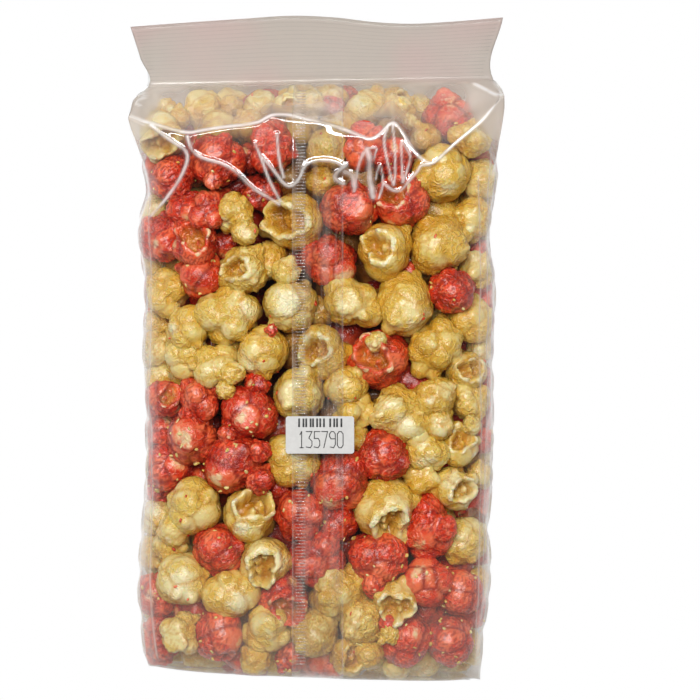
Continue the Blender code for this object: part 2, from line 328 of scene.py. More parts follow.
def new_mesh(name: str, points: Array, quads: Array, caps: Iterable[Sequence[int]] = ()) -> Mesh:
    """A smooth mesh from points in millimetres.

    Args:
        name: The mesh's name.
        points: n by 3 points.
        quads: k by 4 point numbers.
        caps: Other faces, each a list of point numbers.

    Returns:
        The mesh, in metres.
    """
    mesh = bpy.data.meshes.new(name)
    faces = [tuple(map(int, q)) for q in quads] + [tuple(map(int, c)) for c in caps]
    mesh.from_pydata((np.asarray(points) * MM).tolist(), [], faces)
    mesh.update()
    mesh.shade_smooth()
    return mesh


def paint(mesh: Mesh, name: str, values: Array) -> None:
    """Stores four numbers for each point of a mesh as a colour attribute.

    Args:
        mesh: The mesh.
        name: The attribute's name, which its material reads.
        values: n by 4 numbers.
    """
    layer = mesh.color_attributes.new(name, "FLOAT_COLOR", "POINT")
    layer.data.foreach_set("color", np.asarray(values, np.float32).ravel())


def place(mesh: Mesh, material: Material) -> Object:
    """Makes a mesh a piece of the bag.

    Args:
        mesh: The mesh, in place.
        material: Its finish.

    Returns:
        The piece, riding on the bag's one body.
    """
    mesh.materials.clear()
    mesh.materials.append(material)
    piece = bpy.data.objects.new(mesh.name, mesh)
    bpy.context.scene.collection.objects.link(piece)
    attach(piece, "root")
    faces = sum(len(p.vertices) - 2 for p in mesh.polygons)
    log.info("%s: %d triangles", piece.name, faces)
    return piece


def outward(mesh: Mesh) -> Mesh:
    """Turns all of a closed mesh's faces to point out."""
    work = bmesh.new()
    work.from_mesh(mesh)
    bmesh.ops.recalc_face_normals(work, faces=work.faces)
    work.to_mesh(mesh)
    work.free()
    return mesh


class Nodes:
    """A short way to add and join the nodes of one tree."""

    def __init__(self, tree: NodeTree) -> None:
        """Works on a tree, which is emptied."""
        self.tree = tree
        tree.nodes.clear()

    def add(self, kind: str, settings: dict | None = None, **inputs: object) -> Node:
        """Adds a node.

        Args:
            kind: The node's type, where a shader node's goes without its "ShaderNode" prefix.
            settings: Its properties.
            inputs: Its input sockets by name, with _ for a space, or in0, in1 for a numbered one;
                each a number, a tuple or the output that it is joined to.

        Returns:
            The node.
        """
        prefix = "" if kind.startswith(("NodeGroup", "GeometryNode", "FunctionNode")) else "ShaderNode"
        node = self.tree.nodes.new(prefix + kind)
        for name, value in (settings or {}).items():
            setattr(node, name, value)
        for name, value in inputs.items():
            numbered = name[:2] == "in" and name[2:].isdigit()
            socket = node.inputs[int(name[2:]) if numbered else name.replace("_", " ")]
            if isinstance(value, NodeSocket):
                self.tree.links.new(value, socket)
            else:
                socket.default_value = value
        return node

    def math(
        self, operation: str, a: object, b: object = 0.0, clamp: bool = False, c: float = 0.0
    ) -> NodeSocket:
        """The result of a sum on one, two or three values."""
        return self.add("Math", {"operation": operation, "use_clamp": clamp}, in0=a, in1=b, in2=c).outputs[0]

    def ramp(
        self, value: object, low: float, high: float, to_low: float = 0.0, to_high: float = 1.0
    ) -> NodeSocket:
        """A value moved from one range to another, smoothly and clamped."""
        settings = {"interpolation_type": "SMOOTHSTEP"}
        node = self.add("MapRange", settings, Value=value, in1=low, in2=high, in3=to_low, in4=to_high)
        return node.outputs[0]

    def mix(self, factor: object, a: object, b: object, blend: str = "MIX") -> NodeSocket:
        """Two colours mixed."""
        node = self.add("Mix", {"data_type": "RGBA", "blend_type": blend}, in0=factor, in6=a, in7=b)
        return node.outputs[2]

    def noise(
        self, scale: float, detail: float = 2.0, rough: float = 0.5, where: object = None
    ) -> NodeSocket:
        """Noise over the object's own coordinates, in cells per metre."""
        where = where or self.add("TexCoord").outputs["Object"]
        node = self.add("TexNoise", None, Vector=where, Scale=scale, Detail=detail, Roughness=rough)
        return node.outputs[0]


def add_sockets(tree: NodeTree, taken: dict[str, str], given: dict[str, str]) -> None:
    """Gives a node tree its named inputs and outputs.

    Args:
        tree: The tree.
        taken: The kind of each input, by name, such as Float.
        given: The kind of each output.
    """
    for side, sockets in (("INPUT", taken), ("OUTPUT", given)):
        for name, kind in sockets.items():
            tree.interface.new_socket(name=name, in_out=side, socket_type="NodeSocket" + kind)


@dataclass(frozen=True)
class BagShape:
    """The filled bag's outer form, as rounded boxes strung along it."""

    thickness: float = 58.0
    header_half_width: float = 62.5
    top_edge: float = 109.0
    neck: float = 88.5
    shoulder: float = 58.0
    bottom_edge: float = -108.6
    bottom_round: float = 9.0
    film_slab: float = 0.8
    gusset_depth: float = 15.0
    gusset_fold: float = 0.85
    gusset_flare: float = 0.04
    header_level: float = 27.0
    header_droop: float = 3.0
    underside_clear: float = 0.15
    fit_shift: float = 0.1
    fit_scale: float = 0.9956
    left_edge: tuple = (
        (-108.6, 56.8), (-94.5, 58.3), (-82.8, 59.3), (-57.8, 57.8), (-44.5, 56.8), (-4.5, 57.6),
        (18.8, 57.2), (43.0, 58.8), (52.5, 56.4), (65.5, 59.5), (78.0, 62.0), (84.5, 60.4),
        (88.5, 56.2), (98.0, 59.0), (109.0, 62.5),
    )
    right_edge: tuple = (
        (-108.6, 55.8), (-97.8, 55.2), (-84.5, 57.0), (-69.5, 58.2), (-62.0, 57.5),
        (-44.5, 58.5), (-24.5, 59.0), (-1.2, 58.8), (24.0, 59.2), (31.0, 57.9), (50.5, 59.5),
        (65.5, 61.2), (79.0, 62.0), (84.5, 61.4), (88.5, 59.0), (109.0, 62.5),
    )
    top_wave: tuple = (
        (-62.5, 0.2), (-40.0, 1.3), (-25.0, 1.9), (-8.0, 2.5), (6.5, 1.5), (19.0, -0.3),
        (30.5, -1.2), (45.0, -0.9), (62.5, 0.1),
    )

    def half_width(self, station: Array) -> Array:
        """Half of the bag's width at each station along it."""
        return (curve_at(self.left_edge, station) + curve_at(self.right_edge, station)) / 2

    def middle_x(self, station: Array) -> Array:
        """Where the bag's middle line runs at each station."""
        return (curve_at(self.right_edge, station) - curve_at(self.left_edge, station)) / 2

    def middle_z(self, station: Array) -> Array:
        """Height of the middle plane, from the body down to the drooping header."""
        droop = self.header_droop * smooth_step(self.neck, self.top_edge, station)
        body = self.thickness / 2 - 0.4
        return body + (self.header_level - body) * smooth_step(self.shoulder, self.neck, station) - droop

    def half_height(self, station: Array) -> Array:
        """Half of the thickness at each station: full in the body, a slab in the header."""
        full = self.thickness / 2 + 0.4
        u = np.clip((np.asarray(station, float) - self.shoulder) / (self.neck - self.shoulder), 0.0, 1.0)
        drop = np.clip(self.bottom_edge + self.bottom_round - station, 0.0, self.bottom_round)
        rounding = self.bottom_round - np.sqrt(self.bottom_round**2 - 0.94 * drop**2)
        return np.maximum(full * (1 - u**2.2) ** 0.8 - rounding, self.film_slab / 2)

    def squareness(self, station: Array) -> Array:
        """Exponent of the rounded box at each station: softly boxy in the body, then sharp."""
        return 3.8 + 4.2 * smooth_step(self.shoulder - 8, self.shoulder + 12, station)

    def gusset(self, station: Array) -> Array:
        """How far the sides are tucked in at each station, from 0 to 1."""
        return smooth_step(self.shoulder, 79, station) * (1 - smooth_step(82, self.neck, station))

    def room(self, level: Array, station: Array) -> Array:
        """Half of the width that the tucked sides leave.

        Args:
            level: Heights over the middle plane, as shares of the half height.
            station: Their stations.

        Returns:
            The half width before the corners are rounded.
        """
        tucked = self.gusset(station)
        inside = self.gusset_depth * tucked * np.clip(1 - np.abs(level) / self.gusset_fold, 0, 1)
        return self.half_width(station) * (1 + self.gusset_flare * tucked) - inside

    def reach(self, x: Array, station: Array, above: Array) -> Array:
        """Height of the film over the middle plane, or its depth under it.

        Args:
            x: Places across the bag.
            station: Their stations.
            above: Whether each place is over the middle plane.

        Returns:
            The height or depth at each place, in the bag's middle.
        """
        share = np.where(above, self.face_share(x, station), 1.0)
        return self.half_height(station) * share

    def lean(self, station: Array) -> Array:
        """How far each station's line leans along the bag at its right edge."""
        return -0.4 + 0.0187 * station

    def face_share(self, x: Array, station: Array) -> Array:
        """How much of its full height the shown face keeps, with the fold below the neck.

        Args:
            x: Places across the bag.
            station: Their stations along it.

        Returns:
            A factor for the height of the upper half at each place.
        """
        x, station = np.broadcast_arrays(np.asarray(x, float), np.asarray(station, float))
        fold = np.interp(x, *np.array(NECK_FOLD).T)
        reach = (self.neck + 1.0 - station) / np.maximum(self.neck + 1.0 - fold, 1.0)
        steep = 0.86 * np.clip(reach, 0, None) ** 0.85
        gentle = 0.86 + 0.14 * smooth_step(0.0, 26.0, fold - station)
        soft = 0.06
        pick = np.clip(0.5 + (gentle - steep) / (2 * soft), 0, 1)
        blend = gentle * (1 - pick) + steep * pick - soft * pick * (1 - pick)
        share = blend * (self.thickness / 2 + 0.4) / self.half_height(station)
        share = 1 + (share - 1) * smooth_step(38.0, 46.0, station)
        return np.where(station >= self.neck - 0.5, 1.0, share)

    def fitted(self, along: Array) -> Array:
        """Places along the bag, moved so that its footprint is centred and its length exact."""
        return (along + self.fit_shift) * self.fit_scale

    def station_at(self, x: Array, y: Array) -> Array:
        """The station that each place lies at, with the lean and the fit taken off."""
        return y / self.fit_scale - self.fit_shift - self.lean(y) * x / self.header_half_width

    def ring(self, station: float, upper: int, lower: int) -> Array:
        """One closed ring of points round the bag, clockwise seen from the header.

        Args:
            station: The station along the bag.
            upper: Points on the shown half.
            lower: Points on the half that it lies on.

        Returns:
            upper + lower points, starting at the left side.
        """
        b, p = float(self.half_height(station)), float(self.squareness(station))
        angle = np.linspace(0, math.pi, 1201)
        level = np.sin(angle) ** (2 / p)
        z = b * level
        a = self.half_width(station) * (1 + self.gusset_flare * self.gusset(station))
        x = -a * np.sign(np.cos(angle)) * np.abs(np.cos(angle)) ** (2 / p)
        tuck = (a - self.room(level, station)) * (np.abs(x) > a / 2)
        x = x - np.sign(x) * tuck
        rise = z * self.face_share(x + self.middle_x(station), station)
        rise = np.maximum(rise, np.minimum(z, self.film_slab / 2))
        halves = []
        for line, count in (((x, rise), upper), ((x[::-1], -z[::-1]), lower)):
            run = np.concatenate([[0], np.cumsum(np.hypot(*np.diff(line)))])
            stops = np.linspace(0, run[-1], count, endpoint=False)
            halves.append(np.column_stack([np.interp(stops, run, side) for side in line]))
        px, pz = np.vstack(halves).T
        across = px + self.middle_x(station)
        wave = curve_at(self.top_wave, across) * smooth_step(self.neck, self.top_edge, station)
        along = station + self.lean(station) * across / self.header_half_width + wave
        height = np.maximum(pz + self.middle_z(station), self.underside_clear)
        return np.column_stack([across, self.fitted(along), height])

    def header_point(self, across: Array, below: Array, rise: float) -> Array:
        """Points on the header.

        Args:
            across: Places across the bag.
            below: How far each lies below the cut top edge.
            rise: Height over the header's middle plane.

        Returns:
            n by 3 points.
        """
        station = self.top_edge - below
        wave = curve_at(self.top_wave, across) * smooth_step(self.neck, self.top_edge, station)
        along = station + self.lean(self.top_edge) * across / self.header_half_width + wave
        return np.column_stack([across, self.fitted(along), self.middle_z(station) + rise])


@dataclass
class Kernel:
    """One popped kernel: its place and size, its coat and form, and the way it faces."""

    centre: Array
    radius: float
    coat: Coat
    form: Form
    heading: float
    on_face: bool


@dataclass(frozen=True)
class LobeRule:
    """How the lobes of one form of kernel are drawn, in shares of its radius."""

    lobes: tuple[int, int]
    scatter: float
    out: tuple[float, float]
    size: tuple[float, float]
    core: float = 0.0


@dataclass(frozen=True)
class CrustRule:
    """How the crust of one coat is drawn: how wrinkled, how many nubs, and the furrow round each."""

    wrinkled: tuple[float, float]
    nubs: tuple[int, int]
    furrow: float
    furrow_width: float


LOBED_RULE = LobeRule(lobes=(7, 10), scatter=0.26, out=(0.40, 0.60), size=(0.36, 0.52), core=0.70)
ROUND_RULE = LobeRule(lobes=(8, 13), scatter=0.22, out=(0.22, 0.36), size=(0.62, 0.74))
CRUST_RULES = {
    Coat.GOLD: CrustRule(wrinkled=(0.12, 1.0), nubs=(2, 7), furrow=0.35, furrow_width=0.06),
    Coat.RED: CrustRule(wrinkled=(0.55, 1.0), nubs=(0, 4), furrow=0.6, furrow_width=0.02),
}


@dataclass
class KernelForm:
    """Makes the surface of one popped kernel as a cluster of swollen lobes.

    The popped flesh bursts out as lobes that meet in creases, with small blisters over them. A
    cup also shows the opening that the hull left, with a rolled lip.
    """

    crease_width: float = 0.05
    blister_count: int = 70
    blister_size: tuple[float, float] = (0.10, 0.22)
    blister_sunk: tuple[float, float] = (0.7, 1.0)
    nub_size: tuple[float, float] = (0.17, 0.34)
    nub_sunk: tuple[float, float] = (-0.1, 0.6)
    blend: float = 0.12
    bare_chance: float = 0.7
    pit_size: tuple[float, float] = (0.12, 0.26)
    fold_length: float = 3.1
    fold_height: float = 0.30

    def sphere(self, cuts: int) -> tuple[Array, Array]:
        """Directions spread evenly over a ball, and the quads between them.

        Args:
            cuts: Quads along each edge of the cube that is blown up to the ball.

        Returns:
            n by 3 unit directions and k by 4 point numbers.
        """
        work = bmesh.new()
        bmesh.ops.create_cube(work, size=2.0)
        bmesh.ops.subdivide_edges(work, edges=work.edges, cuts=cuts - 1, use_grid_fill=True)
        work.verts.index_update()
        points = np.array([v.co for v in work.verts])
        quads = np.array([[v.index for v in f.verts] for f in work.faces])
        work.free()
        points = np.tan(points * math.pi / 4)
        return points / np.linalg.norm(points, axis=1)[:, None], quads

    def spread(self, count: int, rng: Chance, jitter: float) -> Array:
        """Unit directions spread over a ball, each knocked a little out of place."""
        i = np.arange(count) + 0.5
        polar = np.arccos(1 - 2 * i / count)
        turn = math.pi * (1 + 5**0.5) * i
        points = np.column_stack([
            np.cos(turn) * np.sin(polar), np.sin(turn) * np.sin(polar), np.cos(polar),
        ])
        points += rng.normal(0, jitter, points.shape)
        return points / np.linalg.norm(points, axis=1)[:, None]

    def reach(self, directions: Array, centres: Array, sizes: Array) -> tuple[Array, Array]:
        """How far a cluster of balls reaches along each direction.

        Args:
            directions: n by 3 unit directions.
            centres: k by 3 centres of the balls.
            sizes: Their k radii.

        Returns:
            The reach along each direction, and how near that lies to a crease, from 0 to 1.
        """
        along = directions @ centres.T
        inside = sizes**2 - (centres**2).sum(1) + along**2
        out = np.where(inside > 0, along + np.sqrt(np.maximum(inside, 0)), 0.0)
        ordered = np.sort(out, axis=1)
        gap = ordered[:, -1] - ordered[:, -2]
        crease = np.exp(-gap / self.crease_width)
        return ordered[:, -1] - 0.02 * crease, crease

    def turned(self, kernel: Kernel, rng: Chance) -> tuple[Array, Array]:
        """The kernel's own turn, and the direction that its opening faces.

        Args:
            kernel: The kernel.
            rng: The source of its chances.

        Returns:
            A 3 by 3 turn, and a unit direction in the bag's frame.
        """
        turn, _ = np.linalg.qr(rng.normal(size=(3, 3)))
        if kernel.on_face:
            lean = math.radians(rng.uniform(14, 34))
            heading = math.radians(kernel.heading)
            facing = np.array([
                math.sin(lean) * math.cos(heading), math.sin(lean) * math.sin(heading), math.cos(lean),
            ])
        else:
            facing = self.spread(1, rng, 2.0)[0]
        return turn, facing

    def crust(self, kernel: Kernel, own: Array, rng: Chance) -> tuple[Array, Array, float]:
        """The kernel's lobes, with blisters and nubs over them.

        Args:
            kernel: The kernel.
            own: n by 3 unit directions, turned with the kernel.
            rng: The source of its chances.

        Returns:
            The reach along each direction, how near that lies to a crease, and how wrinkled the
            kernel is as a whole.
        """
        lobe = LOBED_RULE if kernel.form is Form.LOBED else ROUND_RULE
        crust = CRUST_RULES[kernel.coat]
        count = int(rng.integers(*lobe.lobes))
        centres = self.spread(count, rng, lobe.scatter) * rng.uniform(*lobe.out, count)[:, None]
        sizes = rng.uniform(*lobe.size, count)
        if lobe.core:
            centres = np.vstack([centres, np.zeros(3)])
            sizes = np.append(sizes, lobe.core)
        far, crease = self.reach(own, centres, sizes)
        wrinkled = rng.uniform(*crust.wrinkled)
        count = int(self.blister_count * wrinkled) + 4
        nubs = int(rng.integers(*crust.nubs)) + 1
        seeds = np.vstack([self.spread(count, rng, 0.12), self.spread(nubs, rng, 0.7)])
        base, _ = self.reach(seeds, centres, sizes)
        size = np.append(rng.uniform(*self.blister_size, count), rng.uniform(*self.nub_size, nubs))
        sunk = np.append(rng.uniform(*self.blister_sunk, count), rng.uniform(*self.nub_sunk, nubs))
        bumps, _ = self.reach(own, seeds * (base - size * sunk)[:, None], size)
        furrows = crust.furrow * np.exp(-np.abs(bumps - far) / crust.furrow_width)
        pick = np.clip(0.5 + (bumps - far) / self.blend, 0, 1)
        far = far * (1 - pick) + bumps * pick + self.blend / 2 * pick * (1 - pick)
        return far, np.maximum(crease, furrows), wrinkled

    def surface(self, kernel: Kernel, directions: Array, rng: Chance) -> tuple[Array, Array]:
        """The kernel's points and what its glaze does at each of them.

        Args:
            kernel: The kernel.
            directions: n by 3 unit directions to place points along.
            rng: The source of its chances.

        Returns:
            n by 3 points in place, and n by 4 numbers: crease, bare patch, opening and tint.
        """
        turn, facing = self.turned(kernel, rng)
        own = directions @ turn
        far, crease, wrinkled = self.crust(kernel, own, rng)

        bare_at = self.spread(1, rng, 2.0)[0]
        bare_at[2] = abs(bare_at[2]) + 0.3
        bare_at /= np.linalg.norm(bare_at)
        wide = rng.uniform(0.3, 0.9) if rng.random() < self.bare_chance else 0.05
        bare = np.clip(1 - np.arccos(np.clip(directions @ bare_at, -1, 1)) / wide, -1, 1)

        opening, hollow = np.zeros(len(own)), np.zeros((len(own), 3))
        if kernel.form is Form.CUP:
            far, opening, hollow, lip = self.open_cup(directions, facing, far, rng)
            bare = np.maximum(bare, 1.1 * lip - 0.45)
        else:
            for _ in range(int(rng.integers(0, 4))):
                pit = self.spread(1, rng, 2.0)[0]
                close = np.arccos(np.clip(directions @ pit, -1, 1)) / rng.uniform(*self.pit_size)
                far = far * (1 - 0.25 * np.exp(-close**2))
                crease = np.maximum(crease, np.exp(-close**2))
        far /= np.percentile(far, 55)
        folds = self.folds(own * kernel.radius, rng) * (1 - 0.75 * smooth_step(-0.1, 0.3, bare)) * wrinkled
        far += self.fold_height / kernel.radius * folds * (1 - 0.5 * opening)
        # The crease mark, with the pits above and these furrows, is darkened in the glaze: partly pooled
        # glaze, partly painted shade.
        crease = np.maximum(crease, 0.75 * smooth_step(0.15, 0.75, -folds))
        stretch = rng.uniform(0.94, 1.06, 3)
        points = (directions * far[:, None] * stretch + hollow) * kernel.radius + kernel.centre
        tint = np.full(len(own), rng.random())
        return points, np.column_stack([crease, bare * 0.5 + 0.5, opening, tint])

    def folds(self, places: Array, rng: Chance) -> Array:
        """Worm-like folds of the crust: a warped gyroid, from -1 in the furrows to 1 on top.

        Args:
            places: n by 3 places, in millimetres.
            rng: The source of its chances.

        Returns:
            The fold's height at each place.
        """
        start = rng.uniform(0, 6.28, 3)
        p = places * TURN / (self.fold_length * rng.uniform(0.85, 1.3)) + start
        p = p + 0.9 * np.sin(p[:, [1, 2, 0]] * 0.43 + start) + 0.5 * np.sin(p[:, [2, 0, 1]] * 0.91)
        s, c = np.sin(p), np.cos(p)
        gyroid = s[:, 0] * c[:, 1] + s[:, 1] * c[:, 2] + s[:, 2] * c[:, 0]
        return 1 - 2 * np.clip(np.abs(gyroid) / 1.1, 0, 1) ** 0.8

    def open_cup(self, directions: Array, facing: Array, far: Array, rng: Chance) -> tuple[Array, ...]:
        """Presses an uneven opening with a rolled lip into a kernel.

        Args:
            directions: n by 3 unit directions.
            facing: The direction that the opening faces.
            far: The kernel's reach along each direction.
            rng: The source of its chances.

        Returns:
            The new reach, how far inside the opening each point lies, how far it is moved, and how
            much of it is the rolled lip.
        """
        side = np.cross(facing, (0.3, 0.9, 0.2))
        side /= np.linalg.norm(side)
        other = np.cross(facing, side)
        away = np.arccos(np.clip(directions @ facing, -1, 1))
        round_it = np.arctan2(directions @ other, directions @ side)
        start, second = rng.uniform(0, TURN, 2)
        rim = rng.uniform(0.42, 0.60) * (
            1 + 0.22 * np.sin(2 * round_it + start) + 0.12 * np.sin(3 * round_it + second)
            + 0.07 * np.sin(8 * round_it + start)
        )
        bowl = 1 - smooth_step(-0.12, 0.04, away - rim)
        beads = 0.35 * np.sin(5 * round_it + second) + 0.25 * np.sin(11 * round_it + start)
        lip = np.exp(-(((away - rim - 0.13) / 0.13) ** 2)) * (1 + beads)
        x, y = directions @ side * 8.5 + start, directions @ other * 8.5 + second
        lumps = np.sin(x + 0.8 * np.sin(y)) * np.sin(y) + 0.5 * np.sin(1.9 * x + y)
        flesh = smooth_step(-0.1, 0.9, lumps) * smooth_step(0.02, 0.2, rim - away)
        depth = rng.uniform(0.5, 0.75) - 0.34 * flesh
        return far + 0.13 * lip, bowl * (1 - 0.8 * flesh), -facing * (bowl * depth)[:, None], lip


@dataclass
class Filling:
    """The popcorn: kernels that lie against the shown face, and a seeded fill behind them."""

    shape: BagShape
    fill_count: int = 245
    neck_fill: int = 24
    fill_below: float = 5.0
    fill_diameter: float = 18.0
    fill_spread: float = 2.2
    packing_rounds: int = 240
    interlock: float = 0.90
    red_share: float = 0.42
    seed: int = 11
    kernels: list[Kernel] = field(default_factory=list)

    def face_height(self, x: Array, y: Array) -> Array:
        """Height of the film of the shown face over each place."""
        a, b, p = self.shape.half_width(y), self.shape.half_height(y), self.shape.squareness(y)
        out = np.clip(np.abs(x - self.shape.middle_x(y)) / a, 0, 0.995)
        return self.shape.middle_z(y) + b * (1 - out**p) ** (1 / p) * self.shape.face_share(x, y)

    def settle(self) -> None:
        """Places every kernel: pushes overlapping ones apart until they fill the bag."""
        rng = np.random.default_rng(self.seed)
        rows = [
            (coat, form, *PHOTO.kernel(*row))
            for (coat, form), table in FACE_KERNELS.items() for row in table
        ]
        face = np.array([row[2:6] for row in rows], float)
        size = rng.normal(self.fill_diameter, self.fill_spread, self.fill_count)
        size[: self.neck_fill] -= 3.5
        radius = np.concatenate([face[:, 2] / 2, np.clip(size, 12.5, 22.5) / 2])
        y_low = self.shape.bottom_edge + radius * 0.92
        y_high = self.shape.neck + 0.5 - 1.22 * radius
        fill_y = rng.uniform(self.shape.bottom_edge + 10, self.shape.neck - 14, self.fill_count)
        fill_y[: self.neck_fill] = rng.uniform(58, self.shape.neck - 9, self.neck_fill)
        fill_x = rng.uniform(-50, 50, self.fill_count)
        fill_x[: self.neck_fill] *= 0.7
        centre = np.vstack([
            np.column_stack([face[:, 0], face[:, 1], np.zeros(len(face))]),
            np.column_stack([fill_x, fill_y, rng.uniform(9, 34, self.fill_count)]),
        ])
        n = len(face)
        top = self.face_height(face[:, 0], face[:, 1]) - face[:, 3] - radius[:n] - 0.4
        centre[:n, 2] = top
        reach = (radius[:, None] + radius[None, :]) * self.interlock
        below = np.append(np.full(n, 0.3), np.full(self.fill_count, self.fill_below))
        give = np.append(np.full(n, 0.12), np.full(self.fill_count, 0.42))[:, None]
        for _ in range(self.packing_rounds):
            gap = centre[:, None] - centre[None, :]
            distance = np.linalg.norm(gap, axis=2) + np.eye(len(centre))
            push = np.clip(reach - distance, 0, None) / distance
            np.fill_diagonal(push, 0)
            centre += give * (gap * push[:, :, None]).sum(1)
            anchor = np.column_stack([face[:, :2], np.minimum(centre[:n, 2], top)])
            anchor[:, 2] += 0.1 * (top - anchor[:, 2])
            centre[:n] += 0.35 * (anchor - centre[:n])
            slant = self.shape.lean(self.shape.bottom_edge) * centre[:, 0] / self.shape.header_half_width
            centre[:, 1] = np.clip(centre[:, 1], y_low + slant, y_high)
            self.keep_inside(centre, radius, below)
        fill = []
        for number in range(self.fill_count):
            share = 0.1 if number < self.neck_fill else self.red_share
            coat = Coat.RED if rng.random() < share else Coat.GOLD
            form = rng.choice([Form.BALL, Form.BALL, Form.LOBED, Form.CUP])
            fill.append((coat, form, 0, 0, 0, 0, rng.uniform(0, 360)))
        self.kernels = [
            Kernel(centre[i], float(radius[i]), row[0], row[1], float(row[6]), i < n)
            for i, row in enumerate(rows + fill)
        ]

    def keep_inside(self, centre: Array, radius: Array, below: Array) -> None:
        """Moves each kernel that would cross the film back inside it.

        Args:
            centre: The kernels' centres, which are moved.
            radius: Their radii.
            below: How far each stays below the shown face.
        """
        y = centre[:, 1]
        middle_x, middle_z = self.shape.middle_x(y), self.shape.middle_z(y)
        x, z = centre[:, 0] - middle_x, centre[:, 2] - middle_z
        above = z > 0
        height = self.shape.reach(centre[:, 0], y, above)
        slope = self.shape.reach(centre[:, 0], y + 1, above) - height
        a = np.maximum(self.shape.room(z / self.shape.half_height(y), y) - 0.9 * radius - 0.3, 2.0)
        spare = np.where(above, np.minimum(below, 0.35 * height), 0.3)
        b = np.maximum(height - radius * np.sqrt(1 + slope**2) - spare, 0.5)
        p = self.shape.squareness(y)
        out = (np.abs(x) / a) ** p + (np.abs(z) / b) ** p
        shrink = np.maximum(out, 1.0) ** (-1 / p)
        centre[:, 0] = x * shrink**0.3 + middle_x
        centre[:, 2] = z * shrink + middle_z

    def clearance(self, points: Array) -> Array:
        """Smoothed distance from each point to the nearest kernel."""
        total = np.zeros(len(points))
        for kernel in self.kernels:
            away = np.linalg.norm(points - kernel.centre, axis=1) - kernel.radius
            total += np.exp(-np.clip(away, -3, 60) / 1.1)
        return -1.1 * np.log(total + 1e-30)

    def level(self, points: Array, inset: float) -> Array:
        """How far out each point lies: 0 on the bag's middle line and 1 at the film.

        Args:
            points: n by 3 points.
            inset: How far inside the film's plain form 1 lies.

        Returns:
            n levels.
        """
        x, _, z = points.T
        station = self.shape.station_at(x, points[:, 1])
        inner = np.clip(station, self.shape.bottom_edge + 0.6, self.shape.neck - 0.4)
        middle_x, middle_z = self.shape.middle_x(inner), self.shape.middle_z(inner)
        tuck = (z - middle_z) / self.shape.half_height(inner)
        a = np.maximum(self.shape.room(tuck, inner) - inset, 1.0)
        b = np.maximum(self.shape.reach(x, inner, z > middle_z) - inset, 0.4)
        p = self.shape.squareness(inner)
        out = ((np.abs(x - middle_x) / a) ** p + (np.abs(z - middle_z) / b) ** p) ** (1 / p)
        return out + np.abs(station - inner)

    def pressed(self, points: Array, centre: Array, inset: float) -> Array:
        """Flattens what would cross the film against it, drawn in towards the kernel's centre.

        Args:
            points: n by 3 points of one kernel.
            centre: The kernel's centre.
            inset: How far inside the film's plain form they stay.

        Returns:
            The points, all inside.
        """
        crossing = self.level(points, inset) > 1
        if not crossing.any():
            return points
        run = points[crossing] - centre
        low, high = np.full(len(run), 0.1), np.ones(len(run))
        for _ in range(10):
            middle = (low + high) / 2
            outside = self.level(centre + run * middle[:, None], inset) > 1
            low, high = np.where(outside, low, middle), np.where(outside, middle, high)
        points = points.copy()
        points[crossing] = centre + run * low[:, None]
        return points

    def build(self, finishes: dict[Coat, Material]) -> list[Object]:
        """Makes the kernels, one piece for each coat and form and one for each inner fill.

        Args:
            finishes: The glaze for each coat.

        Returns:
            The pieces.
        """
        maker = KernelForm()
        spheres = {cuts: maker.sphere(cuts) for cuts in (18, 12, 8)}
        groups: dict[tuple[Coat, str], list] = {}
        for number, kernel in enumerate(self.kernels):
            rng = np.random.default_rng([self.seed, number])
            cuts = 8 if not kernel.on_face else 18 if kernel.radius > 6.2 else 12
            directions, quads = spheres[cuts]
            points, marks = maker.surface(kernel, directions, rng)
            group = f"face_{kernel.form.value}" if kernel.on_face else "inner_fill"
            points = self.pressed(points, kernel.centre, 0.9)
            groups.setdefault((kernel.coat, group), []).append((points, quads, marks))
        pieces = []
        for (coat, group), parts in groups.items():
            starts = np.cumsum([0] + [len(points) for points, _, _ in parts])
            mesh = new_mesh(
                f"{coat.value}_{group}",
                np.vstack([points for points, _, _ in parts]),
                np.vstack([quads + start for (_, quads, _), start in zip(parts, starts)]),
            )
            paint(mesh, "glaze", np.vstack([marks for _, _, marks in parts]))
            # Each point's depth under the film, which the glaze reads to paint shade on the parts that lie
            # deeper.
            depth = mesh.attributes.new("depth", "FLOAT", "POINT")
            points = np.vstack([points for points, _, _ in parts])
            under = (1 - self.level(points, 0.0)) * self.shape.half_height(points[:, 1])
            under = np.minimum(under, points[:, 1] - self.shape.bottom_edge)
            depth.data.foreach_set("value", under.astype(np.float32))
            pieces.append(place(outward(mesh), finishes[coat]))
        return pieces


def closed_sheet(name: str, upper: Array, lower: Array) -> Mesh:
    """A thin closed body between two grids of points.

    Args:
        name: The mesh's name.
        upper: The upper face, rows by columns by 3, in millimetres.
        lower: The lower face, of the same shape.

    Returns:
        The mesh.
    """
    rows, columns = upper.shape[:2]
    count = rows * columns
    grid = np.arange(count).reshape(rows, columns)
    around = np.concatenate([grid[0], grid[1:, -1], grid[-1, -2::-1], grid[-2:0:-1, 0]])
    walls = np.stack([around, np.roll(around, -1), np.roll(around, -1) + count, around + count], -1)
    quads = np.vstack([
        grid_faces(rows, columns, False), grid_faces(rows, columns, False, count)[:, ::-1], walls,
    ])
    return outward(new_mesh(name, np.vstack([upper.reshape(-1, 3), lower.reshape(-1, 3)]), quads))


